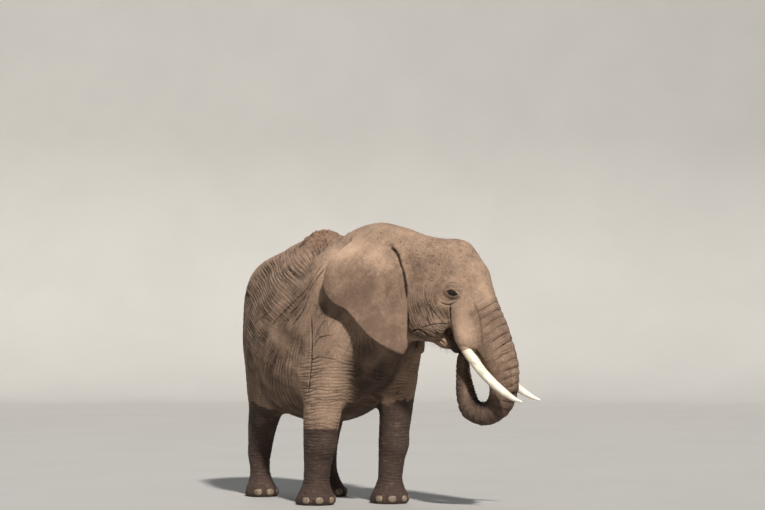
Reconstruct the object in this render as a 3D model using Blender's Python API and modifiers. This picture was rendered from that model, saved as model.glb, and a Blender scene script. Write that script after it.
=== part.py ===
"""An adult savanna elephant cow, life size: her head is turned left and her trunk curls up to the mouth.

Body frame in metres: +X is the way the body faces, +Y her left, +Z up, floor at z = 0. At the end the whole
animal is moved so that the middle of her box is at the origin. She is one shape, divided by thin cuts.
"""
import math

import bmesh
import bpy
import numpy as np
from mathutils import Matrix, Vector


def turn_z(degrees):
    c, s = math.cos(math.radians(degrees)), math.sin(math.radians(degrees))
    return np.array([[c, -s, 0.0], [s, c, 0.0], [0.0, 0.0, 1.0]])


def turn_y(degrees):
    """Positive tips the front (+X) down."""
    c, s = math.cos(math.radians(degrees)), math.sin(math.radians(degrees))
    return np.array([[c, 0.0, s], [0.0, 1.0, 0.0], [-s, 0.0, c]])


def turn_x(degrees):
    c, s = math.cos(math.radians(degrees)), math.sin(math.radians(degrees))
    return np.array([[1.0, 0.0, 0.0], [0.0, c, -s], [0.0, s, c]])


# ---------------------------------------------------------------- driving sizes (metres)
GAP = 0.0003          # between neighbouring parts
VOXEL = 0.027
BODY_TRIANGLES = 2560
EYE_RADIUS = 0.026
EYE_DEPTH = 0.014     # centre of the eyeball under the skin
NAIL_HALF = (0.017, 0.037, 0.034)   # outward, sideways, up
FRONT_NAILS = (-66, -24, 20, 60)    # degrees round the foot from straight ahead
HIND_NAILS = (-44, 0, 44)
FINISH = {   # colour and roughness of each material
    "skin": ((0.27, 0.22, 0.175), 0.85),
    "ivory": ((0.78, 0.72, 0.60), 0.45),
    "eye": ((0.03, 0.02, 0.015), 0.1),
    "nail": ((0.42, 0.37, 0.30), 0.6),
    "hair": ((0.03, 0.026, 0.022), 0.7),
}
TUFT = [   # forward, left, height, radius
    (-1.082, -0.029, 1.00, 0.030),
    (-1.08, -0.03, 0.90, 0.040),
    (-1.078, -0.032, 0.80, 0.043),
    (-1.075, -0.035, 0.68, 0.030),
    (-1.075, -0.035, 0.58, 0.010),
]
# TORSO: forward, top, underside, half width
TORSO = [
    (-0.90, 2.07, 1.22, 0.29),
    (-0.75, 2.20, 1.00, 0.43),
    (-0.52, 2.305, 0.81, 0.55),
    (-0.25, 2.375, 0.72, 0.62),
    (0.00, 2.405, 0.70, 0.635),
    (0.30, 2.35, 0.735, 0.60),
    (0.55, 2.40, 0.85, 0.52),
    (0.78, 2.425, 1.06, 0.42),
    (0.98, 2.40, 1.24, 0.34),
    (1.15, 2.36, 1.42, 0.27),
]
EGG = 0.18            # how much narrower the body is above its middle
LEG_BLEND = 0.13
SQUASH = 1.04         # tubes are this much wider than deep

JOINT = np.array([1.20, 0.08, 0.0])
HEAD_YAW = 36.0
HEAD_TURN = turn_z(HEAD_YAW)


def to_head(p):
    return (p - JOINT) @ HEAD_TURN


def from_head(q):
    return np.asarray(q, float) @ HEAD_TURN.T + JOINT


FRONT_LEG = [  # height, forward of the leg line, half length, half width, towards the middle
    (0.00, 0.00, 0.168, 0.155, 0.0),
    (0.025, 0.00, 0.182, 0.168, 0.0),
    (0.07, 0.005, 0.176, 0.163, 0.0),
    (0.13, 0.005, 0.148, 0.138, 0.0),
    (0.20, 0.005, 0.126, 0.118, 0.0),
    (0.30, 0.01, 0.124, 0.116, 0.0),
    (0.45, 0.02, 0.142, 0.131, 0.0),
    (0.65, 0.035, 0.166, 0.150, 0.0),
    (0.90, 0.055, 0.198, 0.168, 0.0),
    (1.15, 0.085, 0.225, 0.175, 0.0),
    (1.35, 0.115, 0.230, 0.165, 0.01),
    (1.60, 0.12, 0.19, 0.12, 0.04),
    (1.90, 0.06, 0.12, 0.06, 0.13),
]
HIND_LEG = [
    (0.00, 0.03, 0.156, 0.138, 0.0),
    (0.025, 0.03, 0.172, 0.152, 0.0),
    (0.07, 0.025, 0.164, 0.146, 0.0),
    (0.13, 0.01, 0.132, 0.120, 0.0),
    (0.20, -0.01, 0.108, 0.102, 0.0),
    (0.32, -0.025, 0.104, 0.098, 0.0),
    (0.45, -0.025, 0.120, 0.110, 0.0),
    (0.62, 0.00, 0.148, 0.130, 0.0),
    (0.80, 0.06, 0.190, 0.152, 0.0),
    (1.00, 0.095, 0.258, 0.182, 0.0),
    (1.25, 0.08, 0.300, 0.187, 0.01),
    (1.55, 0.06, 0.28, 0.178, 0.02),
    (1.90, 0.06, 0.16, 0.10, 0.05),
]
# foot (forward, left) at the floor, the leg line (forward, left) at its top, girth
LEGS = {
    "front_right": (FRONT_LEG, (0.41, -0.365), (0.60, -0.36), (1.02, 1.0)),
    "front_left": (FRONT_LEG, (0.613, 0.277), (0.622, 0.375), (1.0, 0.86)),
    "hind_right": (HIND_LEG, (-0.72, -0.295), (-0.60, -0.29), (0.97, 1.0)),
    "hind_left": (HIND_LEG, (-0.39, 0.25), (-0.56, 0.29), (0.97, 1.0)),
}


def leg_stations(name):
    shape, foot, top, girth = LEGS[name]
    high = shape[-1][0]
    rows = []
    for z, ahead, length, width, inward in shape:
        t = z / high
        g = girth[0] + (girth[1] - girth[0]) * min(1.0, z / 0.9)
        x = foot[0] + (top[0] - foot[0]) * t
        y = foot[1] + (top[1] - foot[1]) * t
        rows.append((z, x + ahead, y - math.copysign(inward, y), length * g, width * g))
    return rows


TRUNK = [  # head frame: forward, left, height, radius
    (0.575, 0.0, 1.95, 0.197),
    (0.625, 0.0, 1.78, 0.197),
    (0.702, 0.0, 1.62, 0.187),
    (0.780, 0.0, 1.47, 0.174),
    (0.846, 0.0, 1.32, 0.157),
    (0.890, 0.0, 1.17, 0.139),
    (0.895, 0.0, 1.02, 0.123),
    (0.842, 0.0, 0.89, 0.110),
    (0.725, 0.0, 0.822, 0.101),
    (0.608, 0.0, 0.862, 0.094),
    (0.562, 0.0, 0.965, 0.086),
    (0.540, 0.0, 1.08, 0.073),
    (0.530, 0.0, 1.19, 0.062),
    (0.530, 0.0, 1.29, 0.055),
]
CURL = TRUNK[8:]      # the length that turns back up to the mouth

TUSK = [  # head frame, left side
    (0.540, 0.150, 1.50, 0.041),
    (0.622, 0.172, 1.365, 0.042),
    (0.705, 0.190, 1.265, 0.0415),
    (0.777, 0.205, 1.183, 0.040),
    (0.872, 0.220, 1.095, 0.037),
    (0.972, 0.235, 1.021, 0.031),
    (1.060, 0.245, 0.968, 0.021),
    (1.143, 0.250, 0.936, 0.006),
]
EYE = (0.525, 0.262, 1.85)

TAIL = [
    (-0.80, 0.0, 1.98, 0.11),
    (-0.92, 0.0, 1.93, 0.085),
    (-1.03, 0.0, 1.80, 0.062),
    (-1.09, -0.005, 1.60, 0.048),
    (-1.10, -0.015, 1.35, 0.038),
    (-1.09, -0.025, 1.10, 0.030),
    (-1.08, -0.03, 0.90, 0.024),
]

# EARS: root (forward, left), the way it runs back in degrees, which side is out, lean towards the rear
EARS = {"right": ((1.417, -0.133), 215.0, -1, 0.0), "left": ((1.085, 0.325), 159.0, 1, 0.13)}
# EAR_OUTLINE: back from the root, and height; up the rear edge from the lowest tip, and down the front one
EAR_OUTLINE = [
    (-0.04, 1.34), (0.15, 1.42), (0.34, 1.57), (0.48, 1.71), (0.62, 1.78), (0.71, 1.90), (0.70, 2.06),
    (0.66, 2.16), (0.58, 2.25), (0.51, 2.31), (0.40, 2.37), (0.25, 2.38), (0.08, 2.30), (0.00, 2.12),
    (-0.04, 2.05), (-0.06, 1.95), (-0.07, 1.75), (-0.07, 1.48), (-0.07, 1.39), (-0.04, 1.34),
]
EAR_MIDDLE = (0.33, 1.95)
EAR_THICK = 0.028


def ear_edge():
    """The way in degrees and the reach from the middle of the flap to each place on its outline."""
    back, up = (np.array(EAR_OUTLINE) - EAR_MIDDLE).T
    return np.degrees(np.unwrap(np.arctan2(up, back))), np.hypot(back, up)


EAR_ANGLES, EAR_REACHES = ear_edge()


def ear_reach(angle):
    return through(EAR_ANGLES, EAR_REACHES, (angle - EAR_ANGLES[0]) % 360 + EAR_ANGLES[0])


def ear_bow(a, z):
    """How far the flap stands out from its plane."""
    top = np.clip((z - 2.00) / 0.38, 0, 1.1)
    low = np.clip((1.80 - z) / 0.45, 0, 1)
    rear = np.clip((a - 0.45) / 0.3, 0, 1)
    front = np.clip(-a / 0.06, 0, 1)
    wave = 0.03 * np.sin(np.clip(a, 0, 0.7) * 4.5) + 0.01 * np.sin(9 * z + 6 * a)
    return wave - 0.34 * top**2 + 0.02 * low - 0.05 * rear**2 - 0.018 * front


def to_ear(p, side):
    root, way, out, swing = EARS[side]
    c, s = math.cos(math.radians(way)), math.sin(math.radians(way))
    dx, dy = p[:, 0] - root[0], p[:, 1] - root[1]
    return dx * c + dy * s - swing * (2.1 - p[:, 2]), (dx * s - dy * c) * out, p[:, 2]


def from_ear(a, c, z, side):
    root, way, out, swing = EARS[side]
    co, s = math.cos(math.radians(way)), math.sin(math.radians(way))
    a = a + swing * (2.1 - z)
    return np.stack([root[0] + a * co + c * s * out, root[1] + a * s - c * co * out, z], axis=-1)


def ear_shell(side, around=48, rings=10):
    """Closed shell of the ear: points and faces."""
    pts, faces = [], []
    ang = EAR_ANGLES[0] + np.arange(around) * 360 / around
    reach = ear_reach(ang)
    for face in (1, -1):
        for k in range(rings):
            f = k / rings
            a = EAR_MIDDLE[0] + reach * f * np.cos(np.radians(ang))
            z = EAR_MIDDLE[1] + reach * f * np.sin(np.radians(ang))
            c = ear_bow(a, z) + face * EAR_THICK / 2 * math.sqrt(1 - f**8)
            if k == 0:
                pts.append(from_ear(a[:1], c[:1], z[:1], side))
            else:
                pts.append(from_ear(a, c, z, side))
    a = EAR_MIDDLE[0] + reach * np.cos(np.radians(ang))
    z = EAR_MIDDLE[1] + reach * np.sin(np.radians(ang))
    pts.append(from_ear(a, ear_bow(a, z), z, side))
    one = 1 + (rings - 1) * around
    rim = 2 * one
    for face in (0, 1):
        o = face * one
        for j in range(around):
            k = (j + 1) % around
            f = (o, o + 1 + j, o + 1 + k)
            faces.append(f if face == 0 else f[::-1])
            for i in range(rings - 1):
                lo = o + 1 + i * around
                hi = o + 1 + (i + 1) * around if i < rings - 2 else rim
                f = (lo + j, hi + j, hi + k, lo + k)
                faces.append(f if face == 0 else f[::-1])
    return np.vstack(pts), faces


# ---------------------------------------------------------------- shape as distances
def smooth_union(a, b, k):
    h = np.clip(0.5 + 0.5 * (b - a) / k, 0.0, 1.0)
    return b + (a - b) * h - k * h * (1.0 - h)


def through(keys, values, at):
    """Smooth curve through (keys, values), held level past its ends."""
    keys = np.asarray(keys, float)
    values = np.asarray(values, float)
    slopes = np.gradient(values, keys, axis=0)
    at = np.clip(at, keys[0], keys[-1])
    i = np.clip(np.searchsorted(keys, at, side="right") - 1, 0, len(keys) - 2)
    step = keys[i + 1] - keys[i]
    t = (at - keys[i]) / step
    if values.ndim == 2:
        t, step = t[:, None], step[:, None]
    t2, t3 = t * t, t * t * t
    return (
        (2 * t3 - 3 * t2 + 1) * values[i]
        + (t3 - 2 * t2 + t) * step * slopes[i]
        + (3 * t2 - 2 * t3) * values[i + 1]
        + (t3 - t2) * step * slopes[i + 1]
    )


def ellipse_distance(a, b, half_a, half_b):
    k0 = np.sqrt((a / half_a) ** 2 + (b / half_b) ** 2) + 1e-9
    k1 = np.sqrt((a / half_a**2) ** 2 + (b / half_b**2) ** 2) + 1e-9
    return k0 * (k0 - 1.0) / k1


def ellipsoid(p, centre, radii, turn=None):
    q = p - np.asarray(centre, float)
    if turn is not None:
        q = q @ turn
    radii = np.asarray(radii, float)
    k0 = np.sqrt(((q / radii) ** 2).sum(1)) + 1e-9
    k1 = np.sqrt(((q / radii**2) ** 2).sum(1)) + 1e-9
    return k0 * (k0 - 1.0) / k1


def chain(p, stations, fine=3):
    """Distance to a tapering tube through stations of (point, radius)."""
    st = np.asarray(stations, float)
    n = len(st)
    at = np.linspace(0, n - 1, (n - 1) * fine + 1)
    st = through(np.arange(n), st, at)
    low = (st[:, :3] - st[:, 3:4]).min(0) - 0.3
    high = (st[:, :3] + st[:, 3:4]).max(0) + 0.3
    near = np.all((p > low) & (p < high), axis=1)
    gap = np.maximum(np.maximum(low - p, p - high), 0)
    best = np.sqrt((gap**2).sum(1)) + 0.3
    q = p[near]
    found = np.full(len(q), 1e9)
    for a, b in zip(st[:-1], st[1:]):
        ab = b[:3] - a[:3]
        t = np.clip(((q - a[:3]) @ ab) / (ab @ ab), 0, 1)
        off = q - a[:3] - t[:, None] * ab
        off[:, 1] /= SQUASH
        found = np.minimum(found, np.sqrt((off**2).sum(1)) - (a[3] + t * (b[3] - a[3])))
    best[near] = found
    return best


def column(p, stations):
    """Distance to a leg: stations of (height, forward, left, half length, half width) from the sole up."""
    st = np.asarray(stations, float)
    s = through(st[:, 0], st[:, 1:], p[:, 2])
    d = ellipse_distance(p[:, 0] - s[:, 0], p[:, 1] - s[:, 1], s[:, 2], s[:, 3])
    above = np.maximum(p[:, 2] - st[-1, 0], 0)
    return np.where(above > 0, np.hypot(np.maximum(d, 0), above), d)


def masses():
    """(group, blend, centre, radii, turn) of each ellipsoid; the head's are given in the head frame."""
    out = []

    def body(group, blend, centre, radii, turn=None, sides=False):
        for s in (-1, 1) if sides else (1,):
            c = np.array(centre, float) * (1, s, 1)
            out.append((group, blend, c, radii, turn))

    def head(group, blend, centre, radii, turn=None, sides=False):
        for s in (-1, 1) if sides else (1,):
            c = from_head(np.array(centre, float) * (1, s, 1))
            r = HEAD_TURN if turn is None else HEAD_TURN @ turn
            out.append((group, blend, c, radii, r))

    # torso
    body("torso", 0.12, (-0.72, 0, 1.62), (0.28, 0.37, 0.47))                     # rump
    body("torso", 0.10, (-0.56, 0.255, 1.80), (0.33, 0.228, 0.38), sides=True)      # haunch
    body("torso", 0.10, (-0.38, 0.24, 2.10), (0.20, 0.14, 0.10), sides=True)      # hip bone
    body("torso", 0.06, (-0.04, 0, 2.30), (0.22, 0.16, 0.15))                     # hump of the back
    body("torso", 0.10, (0.56, 0.29, 1.78), (0.23, 0.15, 0.45), turn_y(-14), sides=True)  # shoulder blade
    body("torso", 0.10, (0.70, 0.31, 1.46), (0.21, 0.17, 0.25), sides=True)       # point of the shoulder
    body("torso", 0.10, (0.62, 0, 1.25), (0.36, 0.26, 0.27))                      # breastbone
    body("torso", 0.05, (0.60, 0.10, 0.975), (0.10, 0.075, 0.10), sides=True)     # breast
    # neck
    body("neck", 0.14, (1.00, 0.04, 1.92), (0.42, 0.33, 0.49))
    body("neck", 0.10, (0.90, 0.02, 2.31), (0.38, 0.17, 0.14))
    for name in LEGS:
        st = np.array(leg_stations(name))

        def at(z):
            return through(st[:, 0], st[:, 1:], np.array([z]))[0]
        if "front" in name:
            x, y, a, b = at(0.52)
            body(name, 0.06, (x + 0.05, y, 0.53), (a * 0.80, b * 0.86, 0.12))      # wrist
            x, y, a, b = at(1.12)
            body(name, 0.08, (x - a * 0.62, y * 1.02, 1.13), (0.11, 0.10, 0.16))   # elbow
        else:
            x, y, a, b = at(0.42)
            body(name, 0.05, (x - a * 0.52, y, 0.40), (0.07, 0.075, 0.12))         # heel
            x, y, a, b = at(0.92)
            body(name, 0.08, (x + a * 0.50, y * 1.04, 0.95), (0.13, 0.12, 0.17))   # knee
    # head
    head("head", 0.10, (0.02, 0, 2.10), (0.26, 0.27, 0.29))                       # back of the head
    head("head", 0.10, (0.24, 0, 2.05), (0.36, 0.25, 0.285))                      # crown
    head("head", 0.08, (0.483, 0, 2.055), (0.20, 0.19, 0.26))                     # forehead
    head("head", 0.08, (0.10, 0, 1.75), (0.24, 0.24, 0.30))                       # back of the jaw
    head("head", 0.07, (0.33, 0.17, 1.80), (0.23, 0.10, 0.13), sides=True)        # cheekbone
    head("head", 0.05, (0.47, 0.195, 1.88), (0.11, 0.075, 0.09), sides=True)      # eye bulge
    head("head", 0.06, (0.25, 0.13, 1.62), (0.20, 0.10, 0.16), sides=True)        # cheek
    head("head", 0.05, (0.20, 0, 1.53), (0.20, 0.13, 0.09), turn_y(12))           # lower jaw
    head("head", 0.04, (0.36, 0, 1.435), (0.10, 0.075, 0.055), turn_y(20))        # lower lip
    head("head", 0.07, (0.57, 0.125, 1.64), (0.115, 0.088, 0.28), turn_y(-14), sides=True)  # tusk sheath
    head("head", 0.04, (0.596, 0.158, 1.475), (0.083, 0.076, 0.125), turn_y(-24), sides=True)  # its mouth
    head("head", 0.08, (0.00, 0.24, 1.95), (0.11, 0.055, 0.26), sides=True)        # root of the ear
    return out


MASSES = masses()


def body_form(p):
    """Signed distance, near enough, to the skin of the body without its ears."""
    p = np.asarray(p, float)
    t = np.array(TORSO)
    x = np.clip(p[:, 0], t[0, 0], t[-1, 0])
    s = through(t[:, 0], t[:, 1:], x)
    mid, tall = (s[:, 0] + s[:, 1]) / 2, (s[:, 0] - s[:, 1]) / 2
    up = p[:, 2] - mid
    wide = s[:, 2] * (1 - EGG * np.clip(up / tall, -1, 1))
    d = ellipse_distance(p[:, 1], up, wide, tall)
    beyond = np.abs(p[:, 0] - x)
    part = {"torso": np.where(beyond > 0, np.hypot(np.maximum(d, 0), beyond), d)}
    for name in LEGS:
        part[name] = column(p, leg_stations(name))
    for group, blend, centre, radii, turn in MASSES:
        d = ellipsoid(p, centre, radii, turn)
        part[group] = smooth_union(part[group], d, blend) if group in part else d
    q = to_head(p)
    total = smooth_union(part["torso"], part["neck"], 0.14)
    total = smooth_union(total, part["head"], 0.10)
    total = smooth_union(total, chain(q, TRUNK), 0.09)
    for name in LEGS:
        total = smooth_union(total, part[name], LEG_BLEND)
    total = smooth_union(total, chain(p, TAIL), 0.05)
    for side in (-1, 1):
        hollow = ellipsoid(p, from_head((0.27, 0.285 * side, 2.09)), (0.15, 0.055, 0.11), HEAD_TURN)
        total = -smooth_union(-total, hollow, 0.10)
    mouth = ellipsoid(p, from_head((0.515, 0.0, 1.37)), (0.085, 0.080, 0.13), HEAD_TURN)
    total = -smooth_union(-total, mouth, 0.03)
    total = smooth_union(total, chain(q, CURL), 0.01)
    return np.maximum(total, -p[:, 2])


def slope_of(field, p, step=0.004):
    g = np.empty_like(p)
    for i in range(3):
        e = np.zeros(3)
        e[i] = step
        g[:, i] = (field(p + e) - field(p - e)) / (2 * step)
    return g


def balls():
    """Rough balls (centre, radii, turn) that fill the body, for the first mesh."""
    out = []
    t = np.array(TORSO)
    for x in np.linspace(t[0, 0], t[-1, 0], 16):
        top, low, half = through(t[:, 0], t[:, 1:], np.array([x]))[0]
        out.append(((x, 0, (top + low) / 2), (0.16, half, (top - low) / 2), np.eye(3)))
    for _, _, c, r, turn in MASSES:
        out.append((c, r, np.eye(3) if turn is None else turn))
    for stations, count, place in ((TRUNK, 70, from_head), (TAIL, 60, np.array)):
        st = np.array(stations)
        n = len(st)
        for x, y, z, r in through(np.arange(n), st, np.linspace(0, n - 1, count)):
            out.append((place((x, y, z)), (r, r, r), np.eye(3)))
    for name in LEGS:
        rows = np.array(leg_stations(name))
        for z in np.linspace(0.0, rows[-1, 0], 42):
            x, y, a, b = through(rows[:, 0], rows[:, 1:], np.array([z]))[0]
            out.append(((x, y, z), (a, b, 0.06), np.eye(3)))
    return out


# ---------------------------------------------------------------- meshes
def ball_mesh(around=20, rings=12):
    """Points and faces of a unit ball."""
    bm = bmesh.new()
    bmesh.ops.create_uvsphere(bm, u_segments=around, v_segments=rings, radius=1.0)
    points = np.array([tuple(v.co) for v in bm.verts])
    faces = [tuple(v.index for v in f.verts) for f in bm.faces]
    bm.free()
    return points, faces


def make(name, points, faces):
    mesh = bpy.data.meshes.new(name)
    mesh.from_pydata([tuple(p) for p in np.asarray(points, float)], [], faces)
    mesh.update()
    thing = bpy.data.objects.new(name, mesh)
    bpy.context.scene.collection.objects.link(thing)
    return thing


def bake(thing):
    """Apply the modifiers of a thing."""
    graph = bpy.context.evaluated_depsgraph_get()
    mesh = bpy.data.meshes.new_from_object(thing.evaluated_get(graph))
    thing.modifiers.clear()
    old = thing.data
    thing.data = mesh
    bpy.data.meshes.remove(old)
    return thing


def drop(thing):
    mesh = thing.data
    bpy.data.objects.remove(thing)
    bpy.data.meshes.remove(mesh)


def points_of(mesh):
    a = np.empty(len(mesh.vertices) * 3, np.float32)
    mesh.vertices.foreach_get("co", a)
    return a.reshape(-1, 3).astype(float)


def place(mesh, points):
    mesh.vertices.foreach_set("co", points.astype(np.float32).ravel())
    mesh.update()


def relaxed(points, edges, weight=0.5):
    n = len(points)
    count = np.bincount(edges.ravel(), minlength=n)
    total = np.empty_like(points)
    one, two = edges.T
    for i in range(3):
        total[:, i] = np.bincount(one, points[two, i], n) + np.bincount(two, points[one, i], n)
    return points + (total / count[:, None] - points) * weight


def onto(field, points):
    f = field(points)
    g = slope_of(field, points)
    step = -(f / np.maximum((g**2).sum(1), 0.04))[:, None] * g
    length = np.linalg.norm(step, axis=1, keepdims=True)
    return points + step * np.minimum(1, 0.08 / np.maximum(length, 1e-9))


def whole_body():
    unit, unit_faces = ball_mesh()
    points, faces = [], []
    for i, (c, r, turn) in enumerate(balls()):
        points.append((unit * np.asarray(r)) @ np.asarray(turn).T + np.asarray(c))
        faces += [tuple(i * len(unit) + x for x in f) for f in unit_faces]
    body = make("body", np.vstack(points), faces)
    mod = body.modifiers.new("voxels", "REMESH")
    mod.mode = "VOXEL"
    mod.voxel_size = VOXEL
    bake(body)
    mesh = body.data
    edges = np.empty(len(mesh.edges) * 2, np.int32)
    mesh.edges.foreach_get("vertices", edges)
    edges = edges.reshape(-1, 2)
    p = points_of(mesh)
    for _ in range(6):
        p = onto(body_form, relaxed(p, edges))
    p = onto(body_form, p)
    p[:, 2] = np.where(p[:, 2] < 0.004, 0.0, p[:, 2])
    place(mesh, p)
    mod = body.modifiers.new("fewer", "DECIMATE")
    mod.ratio = BODY_TRIANGLES / (2 * len(mesh.polygons))
    mod.use_collapse_triangulate = True
    bake(body)
    p = points_of(body.data)
    p[:, 2] = np.where(p[:, 2] < 0.004, 0.0, p[:, 2])
    place(body.data, p)
    return body


def clean(thing):
    bm = bmesh.new()
    bm.from_mesh(thing.data)
    bmesh.ops.remove_doubles(bm, verts=bm.verts, dist=0.00001)
    bmesh.ops.dissolve_degenerate(bm, dist=0.00001, edges=bm.edges)
    bmesh.ops.triangulate(bm, faces=bm.faces)
    bmesh.ops.recalc_face_normals(bm, faces=bm.faces)
    bm.to_mesh(thing.data)
    bm.free()


def largest(thing):
    """Keep the largest closed piece and drop crumbs."""
    bm = bmesh.new()
    bm.from_mesh(thing.data)
    bm.verts.ensure_lookup_table()
    seen, groups = set(), []
    for v in bm.verts:
        if v.index in seen:
            continue
        stack, group = [v], []
        seen.add(v.index)
        while stack:
            w = stack.pop()
            group.append(w)
            for e in w.link_edges:
                o = e.other_vert(w)
                if o.index not in seen:
                    seen.add(o.index)
                    stack.append(o)
        groups.append(group)
    groups.sort(key=len, reverse=True)
    bmesh.ops.delete(bm, geom=[v for g in groups[1:] for v in g], context="VERTS")
    bm.to_mesh(thing.data)
    bm.free()


def combine(thing, other, how):
    mod = thing.modifiers.new("cut", "BOOLEAN")
    mod.operation = how
    mod.solver = "EXACT"
    mod.object = other
    bpy.context.view_layer.update()
    bake(thing)
    clean(thing)


def grown(thing, by):
    """A copy with its skin moved out."""
    mesh = thing.data.copy()
    copy = bpy.data.objects.new(thing.name + "_grown", mesh)
    bpy.context.scene.collection.objects.link(copy)
    normals = np.array([tuple(n.vector) for n in mesh.vertex_normals])
    place(mesh, points_of(mesh) + normals * by)
    return copy


def box(name, low, high, turn, origin, grow=0.0):
    low, high = np.array(low, float) - grow, np.array(high, float) + grow
    turn = Matrix(np.asarray(turn).tolist()).to_4x4()
    middle = Matrix.Translation(Vector((low + high) / 2))
    sizes = Matrix.Diagonal((*(high - low), 1.0))
    bm = bmesh.new()
    bmesh.ops.create_cube(bm, size=1.0, matrix=Matrix.Translation(Vector(origin)) @ turn @ middle @ sizes)
    mesh = bpy.data.meshes.new(name)
    bm.to_mesh(mesh)
    bm.free()
    thing = bpy.data.objects.new(name, mesh)
    bpy.context.scene.collection.objects.link(thing)
    return thing


def take(thing, name, low, high, turn=np.eye(3), origin=(0, 0, 0)):
    """Cut the part of a thing that is inside a box off as a new part, with the gap between them."""
    part = bpy.data.objects.new(name, thing.data.copy())
    bpy.context.scene.collection.objects.link(part)
    knife = box("knife", low, high, turn, origin)
    combine(part, knife, "INTERSECT")
    drop(knife)
    knife = box("knife", low, high, turn, origin, GAP)
    combine(thing, knife, "DIFFERENCE")
    drop(knife)
    largest(part)
    largest(thing)
    return part


def tube(name, stations, corners, along, place_at):
    """Closed tapering tube through stations of (point, radius), turned from a curve into a mesh."""
    st = np.array(stations, float)
    n = len(st)
    rows = through(np.arange(n), st, np.linspace(0, n - 1, along))
    curve = bpy.data.curves.new(name, "CURVE")
    curve.dimensions = "3D"
    curve.bevel_depth = 1.0
    curve.bevel_resolution = (corners - 4) // 2
    curve.use_fill_caps = True
    spline = curve.splines.new("POLY")
    spline.points.add(along - 1)
    for point, row in zip(spline.points, rows):
        point.co = (*place_at(row[:3]), 1.0)
        point.radius = row[3]
    thing = bpy.data.objects.new(name, curve)
    bpy.context.scene.collection.objects.link(thing)
    mesh = bpy.data.meshes.new_from_object(thing.evaluated_get(bpy.context.evaluated_depsgraph_get()))
    bpy.data.objects.remove(thing)
    bpy.data.curves.remove(curve)
    thing = bpy.data.objects.new(name, mesh)
    bpy.context.scene.collection.objects.link(thing)
    clean(thing)
    return thing


def blob(name, centre, half, turn, around, rings):
    unit, faces = ball_mesh(around, rings)
    thing = make(name, (unit * np.asarray(half)) @ np.asarray(turn).T + np.asarray(centre), faces)
    clean(thing)
    return thing


def sunk(point, depth):
    """The place at a depth under the skin nearest to a point, and the way out."""
    p = np.array([point], float)
    for _ in range(12):
        p = onto(body_form, p)
    out = slope_of(body_form, p)[0]
    out /= np.linalg.norm(out)
    return p[0] - out * depth, out


def paint(thing, slot):
    """Give a part its own plain material."""
    colour, roughness = FINISH[slot]
    material = bpy.data.materials.new(thing.name)
    material.use_nodes = True
    shader = material.node_tree.nodes["Principled BSDF"]
    shader.inputs["Base Color"].default_value = (*colour, 1.0)
    shader.inputs["Roughness"].default_value = roughness
    shader.inputs["Metallic"].default_value = 0.0
    thing.data.materials.clear()
    thing.data.materials.append(material)


# ---------------------------------------------------------------- build
for old in list(bpy.data.objects):
    bpy.data.objects.remove(old)

body = whole_body()
parts = {}

# ears, laid against the neck
skin_out = grown(body, GAP * 1.5)
for side in EARS:
    points, faces = ear_shell(side, 26, 4)
    flap = make("ear_" + side, points, faces)
    clean(flap)
    combine(flap, skin_out, "DIFFERENCE")
    largest(flap)
    parts["ear_" + side] = flap
drop(skin_out)

# tusks and eyes, each set into the head
for side, out in (("right", -1), ("left", 1)):
    line = [(u, v * out, z, r) for u, v, z, r in TUSK]
    parts["tusk_" + side] = tube("tusk_" + side, line, 10, 12, from_head)
    root = 1.004 * np.array(line[0]) - 0.004 * np.array(line[1])
    thick = tube("socket", [(u, v, z, r + 2 * GAP) for u, v, z, r in [root] + line[1:]], 10, 12, from_head)
    combine(body, thick, "DIFFERENCE")
    drop(thick)
    centre, _ = sunk(from_head((EYE[0], EYE[1] * out, EYE[2])), EYE_DEPTH)
    parts["eye_" + side] = blob("eye_" + side, centre, [EYE_RADIUS] * 3, HEAD_TURN, 10, 7)
    hole = blob("socket", centre, [EYE_RADIUS + GAP] * 3, HEAD_TURN, 10, 7)
    combine(body, hole, "DIFFERENCE")
    drop(hole)

# toenails
for name in LEGS:
    st = np.array(leg_stations(name))
    x, y, a, b = through(st[:, 0], st[:, 1:], np.array([0.045]))[0]
    for i, around in enumerate(FRONT_NAILS if "front" in name else HIND_NAILS):
        t = math.radians(around if "left" in name else -around)
        out = np.array([math.cos(t) / a, math.sin(t) / b, 0])
        out /= np.linalg.norm(out)
        centre = np.array([x + a * math.cos(t), y + b * math.sin(t), 0.047]) - out * 0.007
        turn = np.stack([out, [-out[1], out[0], 0], [0, 0, 1]], axis=1)
        label = f"nail_{name}_{i + 1}"
        parts[label] = blob(label, centre, NAIL_HALF, turn, 8, 5)
        hole = blob("bed", centre, [h + GAP for h in NAIL_HALF], turn, 8, 5)
        combine(body, hole, "DIFFERENCE")
        drop(hole)

# legs: each in three lengths; the top one is cut from the body by its own box
TOPS = {
    "front_right": ((0.30, -1.0), (1.1, -0.18), 1.02),
    "front_left": ((0.42, 0.14), (1.1, 1.0), 1.02),
    "hind_right": ((-1.04, -1.0), (-0.29, -0.11), 0.90),
    "hind_left": ((-0.80, 0.095), (-0.12, 1.0), 0.88),
}
for name, (low, high, top) in TOPS.items():
    front, left = "front" in name, "left" in name
    knee, ankle = (0.60, 0.165) if front else (0.54, 0.155)
    corner = (0.0 if front else -2.0, 0.0 if left else -2.0, -0.1)
    lower = take(body, "leg_" + name + "_lower", corner, (corner[0] + 2.0, corner[1] + 2.0, knee))
    parts["leg_" + name + "_upper"] = take(body, "leg_" + name + "_upper", (*low, 0.3), (*high, top))
    parts[lower.name] = lower
    parts["leg_" + name + "_foot"] = take(lower, "leg_" + name + "_foot", (-3, -3, -1), (3, 3, ankle))

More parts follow.
